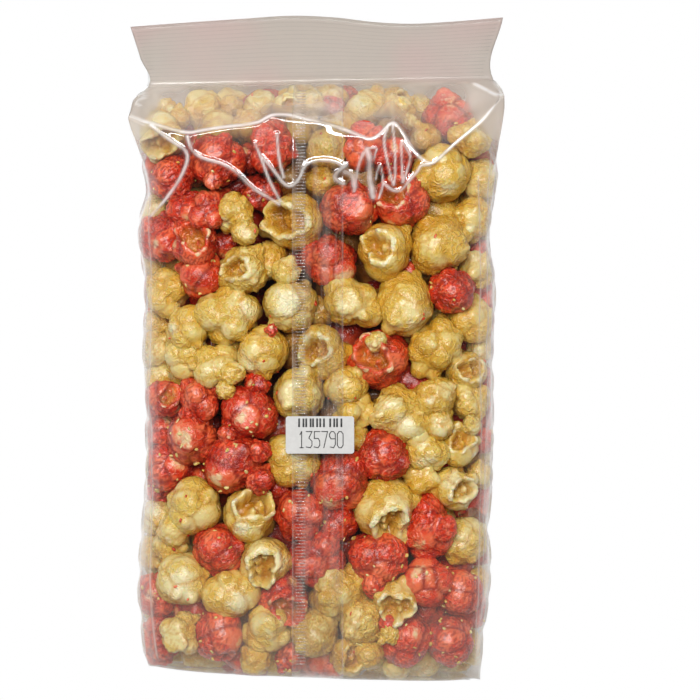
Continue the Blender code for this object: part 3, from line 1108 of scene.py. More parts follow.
@dataclass
class FilmEnvelope:
    """The clear film round the popcorn: drawn in between the kernels, creased near the neck."""

    shape: BagShape
    filling: Filling
    upper: int = 300
    lower: int = 56
    sag_most: float = 1.5
    label_centre: tuple[float, float] = LABEL_CENTRE
    label_half: tuple[float, float] = (11.0, 6.0)
    seal_half: tuple[float, float] = SEAL_HALF
    seal_level: float = SEAL_LEVEL
    # Strength and share of width of the white painted highlight along the creases
    crease_glint: float = 0.9
    crease_core: float = 0.55
    # Strength of the white painted highlight along the edge creases
    edge_glint: float = 0.36
    rings: Array = field(init=False)
    haze: Array = field(init=False)

    def stations(self) -> Array:
        """Where the rings of points lie along the bag, closest where it creases."""
        s = self.shape
        return np.concatenate([
            s.bottom_edge + s.bottom_round * np.array([0, 0.03, 0.09, 0.2, 0.36, 0.6]),
            np.linspace(s.bottom_edge + s.bottom_round, 40, 96, endpoint=False),
            np.linspace(40, s.neck, 106, endpoint=False),
            np.linspace(s.neck, s.top_edge, 12),
        ])

    def near_label(self, points: Array) -> Array:
        """1 away from the label, 0 under it, where the film is held flat."""
        x = smooth_step(0, 5, np.abs(points[..., 0] - self.label_centre[0]) - self.label_half[0] - 1)
        y = smooth_step(0, 5, np.abs(points[..., 1] - self.label_centre[1]) - self.label_half[1] - 1)
        return np.maximum(x, y)

    def normals(self, rings: Array) -> Array:
        """Outward directions of a closed grid of rings."""
        along = np.gradient(rings, axis=0)
        around = (np.roll(rings, -1, 1) - np.roll(rings, 1, 1)) / 2
        across = np.cross(around, along)
        across /= np.linalg.norm(across, axis=2)[..., None] + 1e-9
        outwards = rings - rings.mean(1)[:, None]
        if (across * outwards).sum() < 0:
            across = -across
        return across

    def creased(self, points: Array, where: Array, creases: Iterable[tuple]) -> Array:
        """How strongly a set of creases marks each point.

        Args:
            points: n by 3 points.
            where: Which of them the creases may run over.
            creases: Each crease's strength, half width and corners.

        Returns:
            n strengths, 0 away from the creases.
        """
        mark = np.zeros(len(points))
        for strength, width, corners in creases:
            away = distance_to_path(points[where, :2], rounded_path(corners))
            mark[where] = np.maximum(mark[where], strength * np.exp(-((away / width) ** 2)))
        return mark

    def shape_rings(self) -> None:
        """Lays the film over the kernels and presses the creases into it."""
        s = self.shape
        rings = np.array([s.ring(v, self.upper, self.lower) for v in self.stations()])
        normals = self.normals(rings)
        flat = rings.reshape(-1, 3)
        clear = self.filling.clearance(flat).reshape(rings.shape[:2])
        sag = self.sag_most * (1 - np.exp(-np.clip(clear, 0, None) / 2.4))
        body = 1 - smooth_step(s.neck - 8, s.neck - 1, rings[..., 1])
        shown = smooth_step(s.thickness * 0.75, s.thickness * 0.9, rings[..., 2])
        sag *= body * (1 - shown * (1 - self.near_label(rings)))
        sag *= 0.35 + 0.65 * (1 - shown)
        sag *= smooth_step(0.2, 3.0, rings[..., 2])
        up = (normals[..., 2].ravel() > 0.1) & (flat[:, 1] > 36) & (flat[:, 1] < s.neck + 1)
        ridge = self.creased(flat, up, FILM_CREASES).reshape(rings.shape[:2])
        gathers = 0.35 * np.sin(rings[..., 0] * 0.62 + 1.3 * np.sin(rings[..., 0] * 0.21))
        gathers *= smooth_step(s.neck - 17, s.neck - 6, rings[..., 1]) * body * (normals[..., 2] > 0)
        self.rings = rings + normals * (ridge + gathers - sag)[..., None]
        self.rings[..., 2] = np.maximum(self.rings[..., 2], s.underside_clear)
        self.haze = self.hazes(rings, normals[..., 2].ravel() > 0.1, up, clear)

    def hazes(self, rings: Array, shown: Array, near_neck: Array, clear: Array) -> Array:
        """What the film's finish reads at each point of the rings.

        Args:
            rings: The plain film's rings of points.
            shown: Which of the points are on the shown face.
            near_neck: Which of them the folds near the neck may run over.
            clear: Each ring point's distance to the popcorn.

        Returns:
            How loose the film is, its region's haze, the header's share and the painted highlight along the
            creases.
        """
        across, along = np.abs(rings[..., 0]), rings[..., 1]
        neck = self.shape.neck
        side = smooth_step(48, 59, across)
        region = 0.42 * side + 0.36 * smooth_step(55, 100, -along) + 0.9 * smooth_step(58, 84, along)
        region = np.clip(region, 0, 0.94 - 0.24 * side)
        flaps = side * smooth_step(66, 80, along)
        header = np.maximum(smooth_step(neck - 2.0, neck + 1.0, along), 0.7 * flaps)
        # Painted highlights: the creases near the neck, the neck fold and the edge creases are painted white
        # along their lines.
        folds = [(self.crease_glint, self.crease_core * width, path) for _, width, path in FILM_CREASES]
        # The edge creases are only painted white as highlights; they are not pressed into the film.
        edges = [(self.edge_glint, width, path) for width, path in EDGE_GLINTS]
        flat = rings.reshape(-1, 3)
        white = np.maximum(
            self.creased(flat, near_neck, [*folds, (1.0, self.crease_core, NECK_FOLD)]),
            self.creased(flat, shown, edges),
        )
        return np.stack([smooth_step(0.3, 5.0, clear), region, header, white.reshape(header.shape)], -1)

    def end_rings(self) -> Array:
        """Rings that close the bottom end, from its middle line out."""
        s, outer = self.shape, self.rings[0]
        half_x, half_z = self.seal_half
        x = np.clip(outer[:, 0], -half_x + 1, half_x - 1)
        z = self.seal_level + np.clip(outer[:, 2] - self.seal_level, -half_z + 1, half_z - 1)
        y = s.fitted(s.bottom_edge + s.lean(s.bottom_edge) * x / s.header_half_width - 0.1)
        foot = np.column_stack([x, y, z])
        return np.array([foot] + [foot + (outer - foot) * t for t in (0.25, 0.5, 0.75)])

    def build(self, finish: Material) -> Object:
        """Makes the envelope as one closed surface.

        Args:
            finish: The clear film.

        Returns:
            The piece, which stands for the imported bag.
        """
        self.shape_rings()
        closing = self.end_rings()
        rings = np.concatenate([closing, self.rings])
        rows, columns = rings.shape[:2]
        last = (rows - 1) * columns
        flat = rings.reshape(-1, 3)
        caps = [*self.cap(flat, 0), *self.cap(flat, last)]
        mesh = new_mesh("clear_film", flat, grid_faces(rows, columns, True), caps)
        haze = np.concatenate([np.repeat(self.haze[:1], len(closing), 0), self.haze])
        paint(mesh, "film", haze.reshape(-1, 4))
        piece = place(outward(mesh), finish)
        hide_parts("bag")
        return piece

    def cap(self, points: Array, first: int) -> list[tuple[int, int, int]]:
        """Triangles that close one ring, between its upper and its lower line.

        Args:
            points: The points of all rings.
            first: The number of the ring's first point.

        Returns:
            The triangles.
        """
        top = [first + i for i in range(self.upper + 1)]
        foot = [first] + [first + i for i in range(self.upper + self.lower - 1, self.upper - 1, -1)]
        faces, a, b = [], 0, 0
        while a + 1 < len(top) or b + 1 < len(foot):
            left = a + 1 < len(top)
            if left and b + 1 < len(foot):
                left = points[top[a + 1], 0] <= points[foot[b + 1], 0]
            ahead = top[a + 1] if left else foot[b + 1]
            if len({top[a], foot[b], ahead}) == 3:
                faces.append((top[a], foot[b], ahead))
            a, b = (a + 1, b) if left else (a, b + 1)
        return faces

    def over(self, across: Array, rise: float) -> Array:
        """Points over the shown face along the whole bag.

        Args:
            across: Places across the bag, in order.
            rise: How far over the film they lie.

        Returns:
            Rings by places by 3 points.
        """
        half = self.rings[self.stations() < self.shape.neck + 0.5, : self.upper]
        rows = []
        for ring in half:
            keep = np.maximum.accumulate(ring[:, 0])
            rows.append(np.column_stack([
                across, np.interp(across, keep, ring[:, 1]), np.interp(across, keep, ring[:, 2]) + rise,
            ]))
        return np.array(rows)


@dataclass
class BackSeam:
    """The folded seam: two layers of film laid flat over the shown face, with a knurled weld."""

    film: FilmEnvelope
    left: float = -7.5
    right: float = 9.0
    columns: int = 26
    layer: float = 0.22
    clear: float = 0.12
    weld_left: float = -6.4
    weld_right: float = -3.2
    weld_pitch: float = 1.05
    # Strengths of the white painted highlights along the strip's edges and on the weld
    edge_glint: float = 0.12
    weld_glint: float = 0.2

    def build(self, finish: Material) -> list[Object]:
        """Makes the folded strip and its weld.

        Args:
            finish: The finish of film in two layers.

        Returns:
            The pieces.
        """
        rng = np.random.default_rng(5)
        across = np.linspace(self.left, self.right, self.columns)
        lower = self.film.over(across, self.clear)
        rows = len(lower)
        station = lower[:, :, 1].mean(1)
        lift = np.convolve(rng.normal(0, 1, rows + 24), np.hanning(25) / 6, "valid")[:rows]
        free = smooth_step(self.right - 4, self.right, across)[None, :]
        flat = smooth_step(6, 14, np.abs(station - self.film.label_centre[1]))[:, None]
        edge = smooth_step(-104, -96, station)[:, None]
        lower[:, :, 2] += np.clip(0.22 + 0.3 * lift[:, None], 0, 0.8) * free * flat * edge
        upper = lower + np.array([0, 0, self.layer])
        mesh = closed_sheet("back_seam", upper, lower)
        x = np.array([v.co.x for v in mesh.vertices]) / MM
        # Painted highlight: thin white lines along both edges of the strip.
        edges = np.exp(-((x - self.left) / 0.5) ** 2) + np.exp(-((x - self.right) / 0.5) ** 2)
        paint(mesh, "film", np.outer(edges * self.edge_glint, (0, 0, 0, 1)))
        return [place(mesh, finish), self.weld(finish)]

    def weld(self, finish: Material) -> Object:
        """Makes the row of fine ridges that the sealing wheel leaves along the seam."""
        start = self.film.rings[3, :, 1].min() + 6
        count = int((self.film.shape.neck - 3 - start) / self.weld_pitch)
        ribs = RibRow(count, self.weld_pitch, self.weld_right - self.weld_left, 0.16, 4)
        points, faces = ribs.make(finish)
        across = points[:, 0] + (self.weld_left + self.weld_right) / 2
        along = start - points[:, 1]
        ring = self.film.over(np.array([self.weld_left, self.weld_right]), self.clear + self.layer)
        level = np.interp(along, ring[:, :, 1].mean(1), ring[:, :, 2].mean(1))
        laid = np.column_stack([across, along, level + 0.02 + points[:, 2] * 0.6])
        mesh = new_mesh("seam_weld", laid, faces)
        # Painted highlight: the weld's ribs are painted white.
        paint(mesh, "film", np.outer(np.full(len(laid), self.weld_glint), (0, 0, 0, 1)))
        return place(outward(mesh), finish)


@dataclass
class RibRow:
    """A row of low parallel ribs, made by Geometry Nodes in millimetres.

    The ribs run across X, one below the other along -Y.
    """

    count: int
    pitch: float
    length: float
    radius: float
    sections: int
    rib_sides: int = 6

    def tree(self) -> NodeTree:
        """Builds the node tree: ribs on a line of points, realized and given their finish."""
        tree = bpy.data.node_groups.new("rib_row", "GeometryNodeTree")
        taken = {"Count": "Int", "Pitch": "Float", "Length": "Float", "Radius": "Float"}
        add_sockets(tree, {**taken, "Sections": "Int", "Finish": "Material"}, {"Geometry": "Geometry"})
        n = Nodes(tree)
        given = n.add("NodeGroupInput").outputs
        step = n.add("CombineXYZ", None, Y=n.math("MULTIPLY", given["Pitch"], -1.0))
        line = n.add("GeometryNodeMeshLine", None, Count=given["Count"], Offset=step.outputs[0])
        start = n.add("CombineXYZ", None, X=n.math("MULTIPLY", given["Length"], -0.5))
        end = n.add("CombineXYZ", None, X=n.math("MULTIPLY", given["Length"], 0.5))
        bar = n.add("GeometryNodeCurvePrimitiveLine", None, Start=start.outputs[0], End=end.outputs[0])
        cut = n.add("GeometryNodeResampleCurve", None, Curve=bar.outputs[0], Count=given["Sections"])
        section = n.add(
            "GeometryNodeCurvePrimitiveCircle", None, Resolution=self.rib_sides, Radius=given["Radius"],
        )
        body = n.add(
            "GeometryNodeCurveToMesh", None, Curve=cut.outputs[0], Profile_Curve=section.outputs[0],
            Fill_Caps=True,
        )
        on = n.add("GeometryNodeInstanceOnPoints", None, Points=line.outputs[0], Instance=body.outputs[0])
        real = n.add("GeometryNodeRealizeInstances", None, in0=on.outputs[0])
        soft = n.add("GeometryNodeSetShadeSmooth", None, in0=real.outputs[0])
        dress = n.add("GeometryNodeSetMaterial", None, Geometry=soft.outputs[0], Material=given["Finish"])
        n.add("NodeGroupOutput", None, Geometry=dress.outputs[0])
        return tree

    def make(self, finish: Material) -> tuple[Array, list[list[int]]]:
        """Runs the tree.

        Args:
            finish: The ribs' finish.

        Returns:
            The ribs' points, in millimetres, and their faces.
        """
        given = {
            "Count": self.count, "Pitch": float(self.pitch), "Length": float(self.length),
            "Radius": float(self.radius), "Sections": self.sections, "Finish": finish,
        }
        mesh = evaluated(bpy.data.meshes.new("rib_row"), self.tree(), given)
        points = np.array([v.co for v in mesh.vertices])
        faces = [list(p.vertices) for p in mesh.polygons]
        bpy.data.meshes.remove(mesh)
        return points, faces


def evaluated(base: Mesh, tree: NodeTree, given: dict) -> Mesh:
    """Runs a Geometry Nodes tree on a mesh and returns the result as a plain mesh.

    Args:
        base: The mesh that the tree starts from.
        tree: The tree.
        given: Its inputs, by name.

    Returns:
        The plain mesh.
    """
    holder = bpy.data.objects.new(tree.name, base)
    bpy.context.scene.collection.objects.link(holder)
    modifier = holder.modifiers.new(tree.name, "NODES")
    modifier.node_group = tree
    for item in tree.interface.items_tree:
        if item.item_type == "SOCKET" and item.in_out == "INPUT" and item.name in given:
            modifier[item.identifier] = given[item.name]
    depsgraph = bpy.context.evaluated_depsgraph_get()
    made = bpy.data.meshes.new_from_object(holder.evaluated_get(depsgraph), depsgraph=depsgraph)
    holder.modifiers.clear()
    bpy.data.objects.remove(holder)
    return made


@dataclass
class CrimpedSeals:
    """The flat sealed header with its gusset layers and crimp ribs, and the folded bottom seal."""

    shape: BagShape
    rib_pitch: float = 1.25
    rib_count: int = 16
    rib_radius: float = 0.13
    tuck_reach: tuple[float, float] = (28.5, 30.0)
    tuck_thickness: float = 0.24
    seal_half: tuple[float, float] = SEAL_HALF
    seal_level: float = SEAL_LEVEL
    seal_thickness: float = 0.7

    def build(self, header: Material, tuck: Material) -> list[Object]:
        """Makes the ribs, the tucked gussets and the bottom seal.

        Args:
            header: The finish of the crimped film.
            tuck: The finish of the layers between.

        Returns:
            The pieces.
        """
        pieces = [self.ribs("header_ribs", header), self.bottom_seal(header), self.bottom_ribs(header)]
        for side, reach in zip((-1, 1), self.tuck_reach):
            pieces.append(self.tuck(side, reach, tuck))
        return pieces

    def ribs(self, name: str, finish: Material) -> Object:
        """Makes the crimp ribs on the header's shown face."""
        width = 2 * self.shape.header_half_width - 1.6
        points, faces = RibRow(self.rib_count, self.rib_pitch, width, self.rib_radius, 70).make(finish)
        below = 0.9 - points[:, 1]
        narrow = (self.shape.half_width(self.shape.top_edge - below) - 0.5) / self.shape.header_half_width
        laid = self.shape.header_point(points[:, 0] * np.minimum(narrow, 1), below, self.shape.film_slab / 2)
        laid[:, 2] += points[:, 2] * 0.5
        return place(outward(new_mesh(name, laid, faces)), finish)

    def tuck(self, side: int, reach: float, finish: Material) -> Object:
        """Makes one gusset's layers, folded in between the header's two faces.

        Args:
            side: -1 on the left, 1 on the right.
            reach: How far from the middle its fold lies.
            finish: The finish of the layers.

        Returns:
            The piece.
        """
        below = np.linspace(0.5, self.shape.top_edge - self.shape.neck - 0.3, 12)
        outer = self.shape.half_width(self.shape.top_edge - below) - 0.7
        share = np.linspace(0, 1, 20)[None, :]
        across = side * (reach + (outer[:, None] - reach) * share)
        depth = np.broadcast_to(below[:, None], across.shape)
        sheets = [
            self.shape.header_point(across.ravel(), depth.ravel(), rise).reshape(*across.shape, 3)
            for rise in (self.tuck_thickness / 2, -self.tuck_thickness / 2)
        ]
        name = "left_gusset_tuck" if side < 0 else "right_gusset_tuck"
        return place(closed_sheet(name, *sheets), finish)

    def on_end(self, across: Array, level: Array, proud: Array) -> Array:
        """Points on the bottom end panel, a distance proud of it."""
        lean = self.shape.lean(self.shape.bottom_edge) / self.shape.header_half_width
        along = self.shape.fitted(self.shape.bottom_edge + lean * across - 0.15) - proud
        return np.stack([across, along, level], -1)

    def bottom_seal(self, finish: Material) -> Object:
        """Makes the bottom seal, folded flat against the end."""
        x = np.linspace(-self.seal_half[0], self.seal_half[0], 60)
        z = self.seal_level + np.linspace(-self.seal_half[1], self.seal_half[1], 14)
        across, level = np.meshgrid(x, z)
        wave = 0.12 * np.sin(across * 0.35) * np.sin(level * 0.5)
        outer = self.on_end(across, level, self.seal_thickness - 0.15 + wave)
        inner = self.on_end(across, level, wave * 0.5)
        return place(closed_sheet("bottom_seal", outer, inner), finish)

    def bottom_ribs(self, finish: Material) -> Object:
        """Makes the crimp ribs on the bottom seal."""
        count = int(2 * self.seal_half[1] / self.rib_pitch)
        points, faces = RibRow(count, self.rib_pitch, 2 * self.seal_half[0] - 1.2, 0.25, 60).make(finish)
        level = self.seal_level + self.seal_half[1] - 0.7 + points[:, 1]
        laid = self.on_end(points[:, 0], level, self.seal_thickness - 0.1 + points[:, 2] * 0.5)
        return place(outward(new_mesh("bottom_seal_ribs", laid, faces)), finish)


@dataclass
class Crumbs:
    """Chips of popcorn and glaze that cling to the kernels under the film."""

    per_square_metre: float = 26000.0
    size: float = 0.0009
    above: float = 0.034
    least_stretch: tuple[float, float, float] = (0.35, 0.35, 0.25)
    most_stretch: tuple[float, float, float] = (1.3, 1.0, 0.6)

    def tree(self) -> NodeTree:
        """Builds the node tree: small chips on random spots of the upper side, realized."""
        tree = bpy.data.node_groups.new("crumbs", "GeometryNodeTree")
        taken = {"Geometry": "Geometry", "Density": "Float", "Size": "Float", "Above": "Float"}
        add_sockets(tree, {**taken, "Seed": "Int", "Finish": "Material"}, {"Geometry": "Geometry"})
        n = Nodes(tree)
        given = n.add("NodeGroupInput").outputs
        spot = n.add("GeometryNodeInputPosition").outputs[0]
        level = n.add("SeparateXYZ", None, in0=spot).outputs["Z"]
        rule = {"data_type": "FLOAT", "operation": "GREATER_THAN"}
        upper = n.add("FunctionNodeCompare", rule, A=level, B=given["Above"]).outputs["Result"]
        scatter = n.add(
            "GeometryNodeDistributePointsOnFaces", None, Mesh=given["Geometry"], Selection=upper,
            Density=given["Density"], Seed=given["Seed"],
        )
        chip = n.add("GeometryNodeMeshIcoSphere", None, Radius=given["Size"], Subdivisions=2)
        vector = {"data_type": "FLOAT_VECTOR"}
        turn = n.add("FunctionNodeRandomValue", vector, Max=(6.28, 6.28, 6.28), Seed=given["Seed"])
        grow = n.add(
            "FunctionNodeRandomValue", vector, Min=self.least_stretch, Max=self.most_stretch,
            Seed=given["Seed"],
        )
        on = n.add(
            "GeometryNodeInstanceOnPoints", None, Points=scatter.outputs["Points"],
            Instance=chip.outputs["Mesh"], Rotation=turn.outputs["Value"], Scale=grow.outputs["Value"],
        )
        real = n.add("GeometryNodeRealizeInstances", None, in0=on.outputs[0])
        dress = n.add("GeometryNodeSetMaterial", None, Geometry=real.outputs[0], Material=given["Finish"])
        n.add("NodeGroupOutput", None, Geometry=dress.outputs[0])
        return tree

    def scatter(
        self, name: str, host: Object, finish: Material, slot: str, share: float, seed: int
    ) -> Object:
        """Scatters chips over one piece of kernels.

        Args:
            name: The new piece's name.
            host: The kernels that they cling to.
            finish: The chips' finish.
            slot: Not used.
            share: Their density against the plain one.
            seed: The seed of their places.

        Returns:
            The piece.
        """
        given = {
            "Density": self.per_square_metre * share, "Size": self.size, "Above": self.above,
            "Seed": seed, "Finish": finish,
        }
        mesh = evaluated(host.data.copy(), self.tree(), given)
        mesh.name = name
        for layer in list(mesh.color_attributes):
            mesh.color_attributes.remove(layer)
        return place(mesh, finish)


@dataclass
class DateLabel:
    """The small paper label on the seam, with plain printed bars and numbers."""

    centre: tuple[float, float] = LABEL_CENTRE
    top: float = 59.2
    ink: float = 0.03
    bars: tuple = (-6.7, -5.3, -4.4, -3.0, -2.2, -0.9, 0.1, 1.3, 3.3, 4.6, 5.5, 6.9)
    bar_ends: tuple[float, float] = (2.75, 5.1)
    bar_width: float = 0.6
    digits: str = "135790"
    digit_start: tuple[float, float] = (-6.9, -4.1)
    digit_pitch: float = 2.5
    digit_size: tuple[float, float] = (0.92, 2.6)
    digit_line: float = 0.3
    strokes: dict = field(default_factory=lambda: {
        "0": ((0, 0.3, 0, 1.7), (2, 0.3, 2, 1.7), (0, 0.3, 0.6, 0), (0.6, 0, 1.4, 0), (1.4, 0, 2, 0.3),
              (0, 1.7, 0.6, 2), (0.6, 2, 1.4, 2), (1.4, 2, 2, 1.7)),
        "1": ((0.5, 1.6, 1.1, 2), (1.1, 2, 1.1, 0), (0.5, 0, 1.7, 0)),
        "3": ((0, 2, 2, 2), (2, 2, 0.9, 1.2), (0.9, 1.2, 2, 0.8), (2, 0.8, 2, 0.3), (2, 0.3, 1.4, 0),
              (1.4, 0, 0, 0.1)),
        "5": ((2, 2, 0.1, 2), (0.1, 2, 0.1, 1.15), (0.1, 1.15, 1.5, 1.15), (1.5, 1.15, 2, 0.8),
              (2, 0.8, 2, 0.3), (2, 0.3, 1.4, 0), (1.4, 0, 0, 0.1)),
        "7": ((0, 2, 2, 2), (2, 2, 0.7, 0)),
        "9": ((2, 1.1, 0.5, 1.1), (0.5, 1.1, 0, 1.4), (0, 1.4, 0, 1.7), (0, 1.7, 0.6, 2), (0.6, 2, 1.4, 2),
              (1.4, 2, 2, 1.7), (2, 1.7, 2, 0.4), (2, 0.4, 1.4, 0), (1.4, 0, 0.2, 0.1)),
    })

    def stroke(self, start: tuple[float, float], end: tuple[float, float], width: float) -> Array:
        """The eight corners of one flat stroke of ink, from start to end."""
        a, b = np.array(start, float), np.array(end, float)
        run = (b - a) / np.linalg.norm(b - a)
        side = np.array([-run[1], run[0]]) * width / 2
        a, b = a - run * width * 0.35, b + run * width * 0.35
        plan = np.array([a - side, b - side, b + side, a + side]) + self.centre
        return np.vstack([np.column_stack([plan, np.full(4, self.top + z)]) for z in (0.01, self.ink)])

    def build(self, paper: Material, ink: Material) -> list[Object]:
        """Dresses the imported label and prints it.

        Args:
            paper: The label's finish.
            ink: The print's finish.

        Returns:
            The label and its printed marks.
        """
        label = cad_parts["date_label"]
        label.data.materials.clear()
        label.data.materials.append(paper)
        log.info("date_label: the packed node, in paper")
        low, high = self.bar_ends
        marks = [self.stroke((x, low), (x, high), self.bar_width) for x in self.bars]
        for number, digit in enumerate(self.digits):
            start = np.add(self.digit_start, (number * self.digit_pitch, 0))
            for x0, y0, x1, y1 in self.strokes[digit]:
                ends = [start + np.multiply(end, self.digit_size) for end in ((x0, y0), (x1, y1))]
                marks.append(self.stroke(*ends, self.digit_line))
        block = np.array([(3, 2, 1, 0), (4, 5, 6, 7), (0, 1, 5, 4), (1, 2, 6, 5), (2, 3, 7, 6), (3, 0, 4, 7)])
        quads = np.vstack([block + 8 * n for n in range(len(marks))])
        mesh = new_mesh("label_print", np.vstack(marks), quads)
        return [label, place(outward(mesh), ink)]


def rgb(colour: Sequence[float]) -> tuple[float, float, float, float]:
    """A colour with full alpha."""
    return (*colour, 1.0)


def popcorn_crinkle() -> NodeTree:
    """The shared relief of a popped kernel: worm-like veins of crust, small cells and grain.

    Returns:
        A node group with the input Strength and the outputs Veins and Normal.
    """
    group = bpy.data.node_groups.get("popcorn_crinkle")
    if group:
        return group
    group = bpy.data.node_groups.new("popcorn_crinkle", "ShaderNodeTree")
    add_sockets(group, {"Strength": "Float"}, {"Veins": "Float", "Normal": "Vector"})
    n = Nodes(group)
    given = n.add("NodeGroupInput")
    where = n.add("TexCoord").outputs["Object"]
    coarse = n.noise(430.0, 1.0, 0.5, where)
    away = n.math("ABSOLUTE", n.math("SUBTRACT", coarse, 0.5))
    veins = n.ramp(away, 0.0, 0.11, 1.0, 0.0)
    fine = n.noise(950.0, 1.0, 0.5, where)
    wrinkles = n.ramp(n.math("ABSOLUTE", n.math("SUBTRACT", fine, 0.5)), 0.0, 0.12, 1.0, 0.0)
    grain = n.noise(2300.0, 2.0, 0.6, where)
    height = n.math("ADD", n.math("MULTIPLY", veins, 0.75), n.math("MULTIPLY", wrinkles, 0.3))
    height = n.math("ADD", height, n.math("MULTIPLY", grain, 0.14))
    bump = n.add("Bump", None, Strength=given.outputs["Strength"], Distance=0.0006, Height=height)
    n.add("NodeGroupOutput", None, Veins=veins, Normal=bump.outputs[0])
    return group


@dataclass(frozen=True)
class GlazeFinish:
    """Popcorn under a cooked sugar glaze: shiny, darker in the furrows as partly glaze and partly painted
    shade, with a painted sheen over the paler crust of the ridges and painted shade where it lies deeper
    under the film.
    """

    name: str
    body: tuple[float, float, float]
    deep: tuple[float, float, float]
    pale: tuple[float, float, float]
    # veins: paler colour of the crust's ridges, partly its own tone and partly a painted highlight
    veins: tuple[float, float, float]
    bare: tuple[float, float, float]
    # crust: colour of the creases, partly pooled glaze and partly painted shade
    crust: tuple[float, float, float]
    opening: tuple[float, float, float]
    bare_from: float
    vein_tone_and_sheen_share: float
    relief: float
    bare_soft: float = 0.09
    # Painted shade and bounce light: tint of the flanks that lie 1 to 6.5 mm under the film.
    painted_flank_shade: tuple[float, float, float] = (0.96, 0.80, 0.50)
    # Painted shade: tint of the kernels that lie deep in the bag.
    painted_deep_shade: tuple[float, float, float] = (0.30, 0.15, 0.10)
    crease_glaze_and_shade_share: float = 0.9
    roughness: float = 0.26

    def make(self) -> Material:
        """Makes the material, which reads the kernels' "glaze" attribute."""
        material = bpy.data.materials.new(self.name)
        material.use_nodes = True
        n = Nodes(material.node_tree)
        marks = n.add("Attribute", {"attribute_name": "glaze", "attribute_type": "GEOMETRY"})
        split = n.add("SeparateColor", None, Color=marks.outputs["Color"])
        crease, bare, opening = split.outputs
        patches = n.noise(125.0, 2.0, 0.5)
        blots = n.noise(330.0, 3.0, 0.6)
        smooth = n.ramp(patches, 0.46, 0.62)
        strength = n.ramp(smooth, 0.0, 1.0, self.relief, self.relief * 0.35)
        relief = n.add("Group", {"node_tree": popcorn_crinkle()}, Strength=strength)
        own_tone = n.math("MULTIPLY", marks.outputs["Alpha"], 0.45)
        tone = n.math("ADD", own_tone, n.math("MULTIPLY", smooth, 0.55))
        colour = n.mix(n.ramp(tone, 0.05, 0.4, 0.5, 1.0), rgb(self.deep), rgb(self.body))
        colour = n.mix(n.ramp(tone, 0.25, 0.9), colour, rgb(self.pale))
        sunk = n.ramp(blots, 0.54, 0.74)
        colour = n.mix(n.math("MULTIPLY", sunk, 0.6), colour, rgb(self.deep))
        # Partly painted highlight: the vein ridges take the paler vein colour as a sheen, as well as the
        # crust's own tone.
        vein_tone_and_sheen = n.math("MULTIPLY", relief.outputs["Veins"], n.ramp(blots, 0.62, 0.36, 0.1, self.vein_tone_and_sheen_share))
        colour = n.mix(vein_tone_and_sheen, colour, rgb(self.veins))
        bared = n.math("ADD", bare, n.math("MULTIPLY", n.math("SUBTRACT", blots, 0.5), 0.9))
        colour = n.mix(n.ramp(bared, self.bare_from, self.bare_from + self.bare_soft), colour, rgb(self.bare))
        # Painted shade, partly pooled glaze: creases, furrows and pits take the dark crust colour.
        colour = n.mix(n.ramp(crease, 0.25, 1.0, 0.0, self.crease_glaze_and_shade_share), colour, rgb(self.crust))
        inside = n.math("MULTIPLY", opening, n.ramp(blots, 0.3, 0.62, 0.7, 1.0))
        colour = n.mix(inside, colour, rgb(self.opening))
        under = n.add("Attribute", {"attribute_name": "depth"}).outputs["Fac"]
        # Painted shade: where the kernel lies 1 to 6.5 mm under the film, its colour turns warmer and darker.
        colour = n.mix(n.ramp(under, 1.0, 6.5), colour, n.mix(1.0, colour, rgb(self.painted_flank_shade), "MULTIPLY"))
        # Painted shade: from 5 to 15 mm under the film the colour darkens strongly.
        colour = n.mix(n.ramp(under, 5.0, 15.0), colour, n.mix(1.0, colour, rgb(self.painted_deep_shade), "MULTIPLY"))
        shader = n.add(
            "BsdfPrincipled", None, Base_Color=colour, Roughness=self.roughness,
            Normal=relief.outputs["Normal"], Coat_Weight=0.4, Coat_Roughness=0.18,
            Subsurface_Weight=0.3, Subsurface_Radius=(1.0, 0.4, 0.12), Subsurface_Scale=0.0012,
        )
        n.add("OutputMaterial", None, Surface=shader.outputs[0])
        return material


